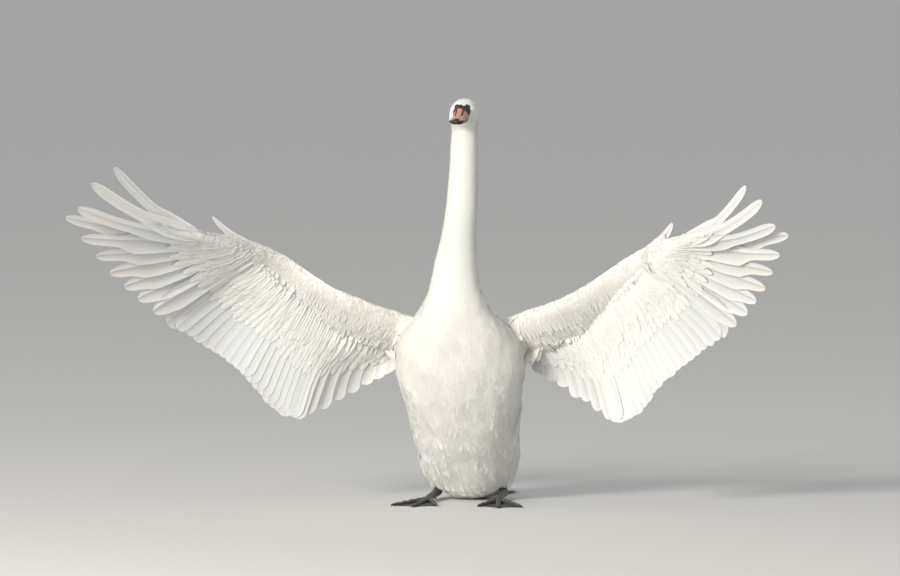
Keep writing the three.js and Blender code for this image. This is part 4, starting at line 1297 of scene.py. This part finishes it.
def make_bill():
    """The upper bill with its knob, nostrils and nail, in one skin, and the lower bill under it."""
    rings, around = 120, 65
    rows = np.linspace(-0.45, len(BILL) - 1, rings)
    forward, wide, high = spline(BILL, np.maximum(rows, 0)).T
    forward = forward + np.minimum(rows, 0) * 18
    edge = bill_edge(forward)
    angle = np.linspace(0, math.pi, around)
    inward = 1 + 0.5 * np.minimum(rows, 0)[:, None]
    side = np.cos(angle) * wide[:, None] * inward
    over = np.abs(np.sin(angle)) ** 0.8
    ahead = np.broadcast_to(forward[:, None], side.shape)
    from_nostril = (ahead - NOSTRIL["forward"]) / NOSTRIL["length"]
    hollow = np.hypot(from_nostril, (np.abs(side) - NOSTRIL["side"]) / NOSTRIL["width"])
    up = over * high[:, None] * inward + edge[:, None]
    up = up + over**1.5 * KNOB["height"] * swelling(KNOB, ahead, side, 0.7)
    up = up + over**1.5 * NAIL["height"] * swelling(NAIL, ahead, side)
    up = up - NOSTRIL["depth"] * (1 - smooth(hollow, 0.3, 1.0)) + 0.5 * bell(hollow, 0.25, 1.2)
    up = up - 0.5 * bell(np.abs(side) / wide[:, None], 0.06, 0.86) * over
    hook = NAIL["hook"] * swelling(NAIL, ahead, side)[:, ::-1] * smooth(ahead, 172, 182)
    under = np.broadcast_to(edge[:, None], side.shape) + 1.2 * over - hook
    points = in_head(ahead, side, up)
    closed = in_head(ahead, side, under)[:, ::-1]
    loop = np.concatenate([points, closed[:, 1:-1]], 1)
    mesh = tube_mesh("bill_horn", metres(loop))
    f, s, u = of_head(read_points(mesh))
    set_number(mesh, "dark", bill_marks(f, s, u))
    piece("bill_horn", mesh, bill_material("bill"), ["bill_upper", "bill_knob", "bill_nail"])
    make_lower_bill()


def make_lower_bill():
    """The lower bill: a trough of jaw with a flat top."""
    rings, around = 60, 33
    forward = np.linspace(LOWER_BILL["start"], LOWER_BILL["end"], rings)
    share = (forward - BILL[0, 0]) / (BILL[-1, 0] - BILL[0, 0])
    wide = np.interp(forward, BILL[:, 0], BILL[:, 1]) - LOWER_BILL["inset"]
    half = np.maximum(2, wide * (1 - np.maximum(0, share - 0.85) * 3))
    deep = LOWER_BILL["depth"] * (1 - 0.6 * share)
    angle = np.linspace(math.pi, 2 * math.pi, around)
    side = np.cos(angle) * half[:, None]
    up = -np.abs(np.sin(angle)) ** 0.85 * deep[:, None] + bill_edge(forward)[:, None] - 0.4
    up = up + 1.4 * bell(side, 3.5) * np.sin(-angle) * smooth(share, 0.1, 0.5)[:, None]
    ahead = np.broadcast_to(forward[:, None], side.shape)
    lip = in_head(ahead, side, np.broadcast_to(bill_edge(forward)[:, None] - 0.4, side.shape))[:, ::-1]
    mesh = tube_mesh("bill_under", metres(np.concatenate([in_head(ahead, side, up), lip[:, 1:-1]], 1)))
    piece("bill_under", mesh, black_material("black_horn"), ["bill_lower"])


def tube_mesh(name, rings):
    """A closed mesh through rings of points (n, around, 3), with a fan over each end."""
    return mesh_of(name, *tube_parts(rings))


def tube_parts(rings):
    """Points, quads and end triangles of a closed tube, with its faces pointing out."""
    count, around = rings.shape[:2]
    flat = rings.reshape(-1, 3)
    quads = ring_quads(count, around)
    ends = [np.arange(around), (count - 1) * around + np.arange(around)[::-1]]
    centres = np.array([flat[e].mean(0) for e in ends])
    fans = [(len(flat) + k, e[(i + 1) % around], e[i]) for k, e in enumerate(ends) for i in range(around)]
    triangles = np.array(fans)
    middle = flat.mean(0)
    a, b, c = (flat[quads[:, k]] - middle for k in (0, 1, 2))
    if (a * np.cross(b, c)).sum() < 0:
        quads, triangles = quads[:, ::-1], triangles[:, ::-1]
    return np.vstack([flat, centres]), quads, triangles


BALL = {"radius": 5.5, "forward": -0.5, "side": -3.9, "up": -0.3}  # of the eyeball, from the solid's middle
EYE_OUT = (0.86, -0.5, 0.1)  # the way the left eye looks
PUPIL_RADIUS = (3, 3.6)  # where the black ends and where the iris begins
# Shell of the lids: angles in degrees, and how much wider it is where it meets the skin.
LID = {"inner": 5.6, "outer": 6.3, "wide": 50, "high": 38, "reach": 104, "skirt": 1.9, "rows": 18}


def make_eyes():
    """Eyeballs with a bulging cornea, in their lids."""
    wet, lid_look = eye_material("eye"), bare_material("lids", WHITE, 0.5, 1900)
    polar = np.linspace(0.02, math.pi - 0.02, 30)[:, None]
    angle = np.linspace(0, 2 * math.pi, 40, endpoint=False)
    radius = BALL["radius"] + 0.35 * bell(polar, 0.5)
    for name, side in SIDES.items():
        centre = in_head(*(EYE[way] + BALL[way] for way in ("forward", "side", "up"))) * (side, 1, 1)
        out = unit(mirrored(EYE_OUT, side))
        ahead = unit(np.cross(out, (0, 0, 1))) * side
        axes = (out, ahead, np.cross(ahead, out) * side)
        mesh = tube_mesh(f"eyeball_{name}", metres(around_axes(centre, axes, radius, polar, angle)))
        pupil = metres(centre + out * BALL["radius"])
        away = np.linalg.norm(read_points(mesh) - pupil, axis=1) / MM
        set_number(mesh, "dark", 1 - smooth(away, *PUPIL_RADIUS))
        piece(f"eyeball_{name}", mesh, wet, [f"eye_{name}"])
        lids(name, centre, axes, lid_look)


def around_axes(centre, axes, radius, polar, angle):
    """Points at a radius about a centre, by their angle from the first axis and round it."""
    out, ahead, over = axes
    ring = np.cos(angle)[..., None] * ahead + np.sin(angle)[..., None] * over
    return centre + radius[..., None] * (np.cos(polar)[..., None] * out + np.sin(polar)[..., None] * ring)


def lids(name, centre, axes, material):
    """A shell of bare skin over the eyeball, open in an almond at its front."""
    angle = np.linspace(0, 2 * math.pi, 56, endpoint=False)
    almond = 1 / np.hypot(np.cos(angle) / LID["wide"], np.sin(angle) / LID["high"])
    outward = np.linspace(0, 1, LID["rows"])[:, None]
    polar = np.radians(almond + (LID["reach"] - almond) * outward**1.3)
    rim, crease = 0.35 * bell(outward, 0.12), -0.22 * bell(outward, 0.07, 0.3)
    skirt = LID["skirt"] * outward**2
    outside = around_axes(centre, axes, LID["outer"] + rim + crease + skirt + 0 * polar, polar, angle)
    inside = around_axes(centre, axes, LID["inner"] + 0 * polar, polar, angle)[::-1]
    loop = np.concatenate([outside, inside]).transpose(1, 0, 2)
    count, around = loop.shape[:2]
    quads = ring_quads(count + 1, around) % (count * around)
    flat = metres(loop.reshape(-1, 3))
    a, b, c = (flat[quads[:, k]] - metres(centre) for k in (0, 1, 2))
    facing = (np.cross(b - a, c - a) * a).sum(1) * (np.arange(len(quads)) % around < LID["rows"] - 1)
    if facing.sum() < 0:
        quads = quads[:, ::-1]
    mesh = mesh_of(f"lids_{name}", flat, quads)
    forward, _, _ = of_head(flat)
    black = np.tile(np.concatenate([1 - smooth(outward[:, 0], 0.1, 0.2)] * 2), (count, 1))
    black[:, LID["rows"]:] = 1
    front = smooth(forward, EYE["forward"] - 2, EYE["forward"] + 0.5)
    set_number(mesh, "dark", np.maximum(black.ravel(), front))
    piece(f"lids_{name}", mesh, material)


# -------- legs


class Tubes(Gathered):
    """Closed tubes and webs gathered for one piece."""

    def add(self, rings):
        """Adds a closed tube through rings of points."""
        self.take(*tube_parts(rings))

    def make(self, name, material, slot, replaces=()):
        """The tubes gathered so far as one piece."""
        piece(name, self.mesh(name), material, replaces)


def scaled_tube(line, wide, deep, around=20, scutes=0.0, pitch=3.0):
    """Rings along a line in layout millimetres, crossed by scutes on their upper side."""
    run = unit(np.gradient(line, axis=0))
    right = unit(np.cross(run, (0, 0, 1.0)))
    over = np.cross(right, run)
    angle = np.linspace(0, 2 * math.pi, around, endpoint=False)
    step = np.abs(((walked(line) / pitch) % 1) - 0.5) * 2
    proud = 1 + scutes * (0.5 - step[:, None] ** 3) * np.maximum(np.sin(angle), 0)
    sideways = (np.cos(angle) * wide[:, None] * proud)[..., None] * right[:, None]
    upright = (np.sin(angle) * deep[:, None] * proud)[..., None] * over[:, None]
    rings = line[:, None] + sideways + upright
    rings[..., 2] = np.maximum(rings[..., 2], SOLE_GAP)
    return metres(rings)


# Along each toe, from its root to its claw.
TOE_HEIGHTS = (9, 6.5, 4.5, 3.2)
TOE_RADII = (8.5, 6.5, 5, 3.6)
TOE_TURN = {"inner": -1, "middle": 0, "outer": 1}  # which way each toe splays
SHANK_ENDS = (0, 14, 2), (0, -16, -3)  # over the hock, and past the toes' root
HIND_TOE = ((0, 0, 0), (-7, 9, -3), (-11, 19, -9))  # from where it leaves the shank
SHANK_WIDTHS, SHANK_DEPTHS = (8.5, 11.5, 7.5, 9, 6.5), (9, 12.5, 9, 8.5, 5)  # from over the hock to the toes
TOE_JOINTS = {"inner": (0.4, 0.78), "middle": (0.33, 0.6, 0.83), "outer": (0.28, 0.48, 0.68, 0.86)}


def toe_line(toe, side, t):
    """Points of a toe from its root to the claw's root, and its width at each."""
    angle = math.radians(FOOT["splay"] * TOE_TURN[toe] + FOOT["turn"])
    heading = np.array((math.sin(angle), -math.cos(angle), 0))
    line = np.array((TOE_ROOT[0], TOE_ROOT[1], 0)) + heading * (FOOT[toe] * t)[:, None]
    joints = sum(bell(t, 0.035, joint) for joint in TOE_JOINTS[toe])
    shares = np.linspace(0, 1, len(TOE_RADII))
    pads = 1.2 * np.sin(t * math.pi * (len(TOE_JOINTS[toe]) + 1)) ** 2
    line[:, 2] = np.interp(t, shares, TOE_HEIGHTS) + pads
    radius = np.interp(t, shares, TOE_RADII) * (1 + 0.16 * joints) * (1 - 0.45 * smooth(t, 0.93, 1.0))
    return line * (side, 1, 1), radius


def web_rings(first, second, side):
    """The web between two toes: a thin closed sheet that sags and has folds."""
    t = np.linspace(0.05, 0.93, 44)
    across = np.linspace(0, 1, 17)
    middle = np.sin(across * math.pi)
    a, b = (toe_line(toe, 1, t)[0] for toe in (first, second))
    rows = t[:, None] * (1 - 0.13 * middle)
    place = [np.stack([np.interp(rows, t, line[:, k]) for k in range(3)], -1) for line in (a, b)]
    sheet = place[0] * (1 - across)[:, None] + place[1] * across[:, None]
    sag = 2.6 * middle * smooth(t, 0.05, 0.4)[:, None]
    folds = 0.5 * np.sin(across * math.pi * 6 + 2.5 * t[:, None]) * middle * smooth(t, 0.2, 0.9)[:, None]
    sheet[..., 2] = np.maximum(sheet[..., 2] - sag + folds - 1.2, 1.0)
    under = sheet - (0, 0, 0.8)
    return metres(np.concatenate([sheet, under[:, ::-1]], 1) * (side, 1, 1))


def claw_rings(toe, side):
    """A short blunt claw that curves down from the toe's end."""
    line, _ = toe_line(toe, side, np.array((0.96, 1.0)))
    heading = unit(line[1] - line[0])
    s = np.linspace(0, 1, 14)
    curve = line[1] + heading * (FOOT["claw"] * s - 3)[:, None]
    curve[:, 2] = 4.2 + 1.4 * np.sin(s * 2.6) - 3.6 * s**1.6
    radius = 3.1 * np.sqrt(np.maximum(1 - s**1.5, 0.01))
    return scaled_tube(curve, radius * 0.9, radius, 14)


def make_legs():
    """Tarsi, toes and webs as leather, with the claws apart."""
    leather, horn = leg_material("legs"), black_material("claws", 0.32)
    hock, root = np.array(HOCK, float), np.array(TOE_ROOT, float)
    over, past = SHANK_ENDS
    rows = np.array([hock + over, hock, (hock + root) / 2, root, root + past])
    hind = hock + (root - hock) * 0.78 + HIND_TOE
    shin, toe_rows = np.linspace(0, 4, 70), np.linspace(0, 2, 24)
    wide, deep = (spline(np.array(sizes), shin) for sizes in (SHANK_WIDTHS, SHANK_DEPTHS))
    thin = np.linspace(4.2, 1.2, 24)
    for name, side in SIDES.items():
        foot, claws, shank = Tubes(), Tubes(), Tubes()
        for toe in TOE_JOINTS:
            line, radius = toe_line(toe, side, np.linspace(0, 1, 90))
            foot.add(scaled_tube(line, radius, np.minimum(radius, 6.5), scutes=0.12))
            claws.add(claw_rings(toe, side))
        foot.add(web_rings("inner", "middle", side))
        foot.add(web_rings("middle", "outer", side))
        shank.add(scaled_tube(spline(mirrored(rows, side), shin), wide, deep, 26, 0.1, 4.2))
        shank.add(scaled_tube(spline(mirrored(hind, side), toe_rows), thin, thin))
        foot.make(f"webbed_foot_{name}", leather, "leg", [f"foot_{name}"])
        claws.make(f"claws_{name}", horn, "leg")
        shank.make(f"shank_{name}", leather, "leg", [f"tarsus_{name}"])


# -------- floor, light and camera

FLOOR = np.array([(-100, -100, 0), (100, -100, 0), (100, 100, 0), (-100, 100, 0)], float)
FLOOR_GREY = (0.52, 0.52, 0.51, 1)
SKY = {"Color": (0.93, 0.935, 0.94, 1), "Strength": 0.7}
# Lamps: place, size, power and colour, all shining on the middle of the bird.
LAMPS = {
    "key": ((-3.9, -7.7, 3.8), 2.2, 880, (1.0, 0.95, 0.86)),
    "fill": ((-1.7, -7.0, 0.85), 1.6, 86, (1.0, 0.97, 0.91)),
}
LIT = (0, -0.15, 0.5)
CAMERA = {"azimuth": 8.5, "elevation": 3.5, "distance": 24.0, "lens": 384, "sensor": 36, "clip": 500}
TARGET = (-0.0423, -0.0943, 0.535)


def make_stage():
    """A plain floor, the sky's light and two lamps."""
    mesh = mesh_of("floor", FLOOR, [(0, 1, 2, 3)])
    floor = placed("floor", mesh)
    mesh.materials.append(Shader("floor", 0.9, Base_Color=FLOOR_GREY).material)
    world = bpy.data.worlds.new("studio")
    bpy.context.scene.world = world
    world.use_nodes = True
    for socket, value in SKY.items():
        world.node_tree.nodes["Background"].inputs[socket].default_value = value
    for name, (place, size, power, colour) in LAMPS.items():
        data = bpy.data.lights.new(name, "AREA")
        data.energy, data.size, data.color = power, size, colour
        lamp = placed(name, data)
        lamp.location = place
        lamp.rotation_euler = (Vector(LIT) - Vector(place)).to_track_quat("-Z", "Y").to_euler()


def make_camera():
    """The photograph's view of the bird."""
    data = bpy.data.cameras.new("camera")
    data.lens, data.sensor_width, data.clip_end = CAMERA["lens"], CAMERA["sensor"], CAMERA["clip"]
    a, e = math.radians(CAMERA["azimuth"]), math.radians(CAMERA["elevation"])
    back = Vector((math.sin(a) * math.cos(e), -math.cos(a) * math.cos(e), math.sin(e)))
    camera = placed("camera", data)
    camera.location = Vector(TARGET) + back * CAMERA["distance"]
    camera.rotation_euler = back.to_track_quat("Z", "Y").to_euler()
    bpy.context.scene.camera = camera
    bpy.context.scene.view_settings.view_transform = "Standard"


def main():
    """The whole scene."""
    skin = make_skin(bare_material("skin", PINKISH, 0.55, 1400))
    surface = Surface(skin.data)
    regions = body_regions(surface)
    # The wings' plumes are the body's whites dimmed by 0.87: painted shade, as the wings face the key lamp
    # more squarely than the body.
    plumes, wing_plumes = plume_material("plumes"), plume_material("wing_plumes", 0.87)
    vanes = vane_material("vanes")
    for name in FINE_DENSITY:
        coat_body(name, surface, regions[name], plumes)
    coat_head(surface, regions["head"], plumes)
    coat_shoulders(surface, plumes)
    for name, side in SIDES.items():
        coat_wing(name, side, surface, regions["wing"], wing_plumes)
        flight_feathers(name, side, vanes)
        coverts(name, side, surface, wing_plumes)
    tail_feathers(vanes)
    make_bill()
    make_eyes()
    make_legs()
    make_stage()
    make_camera()


main()
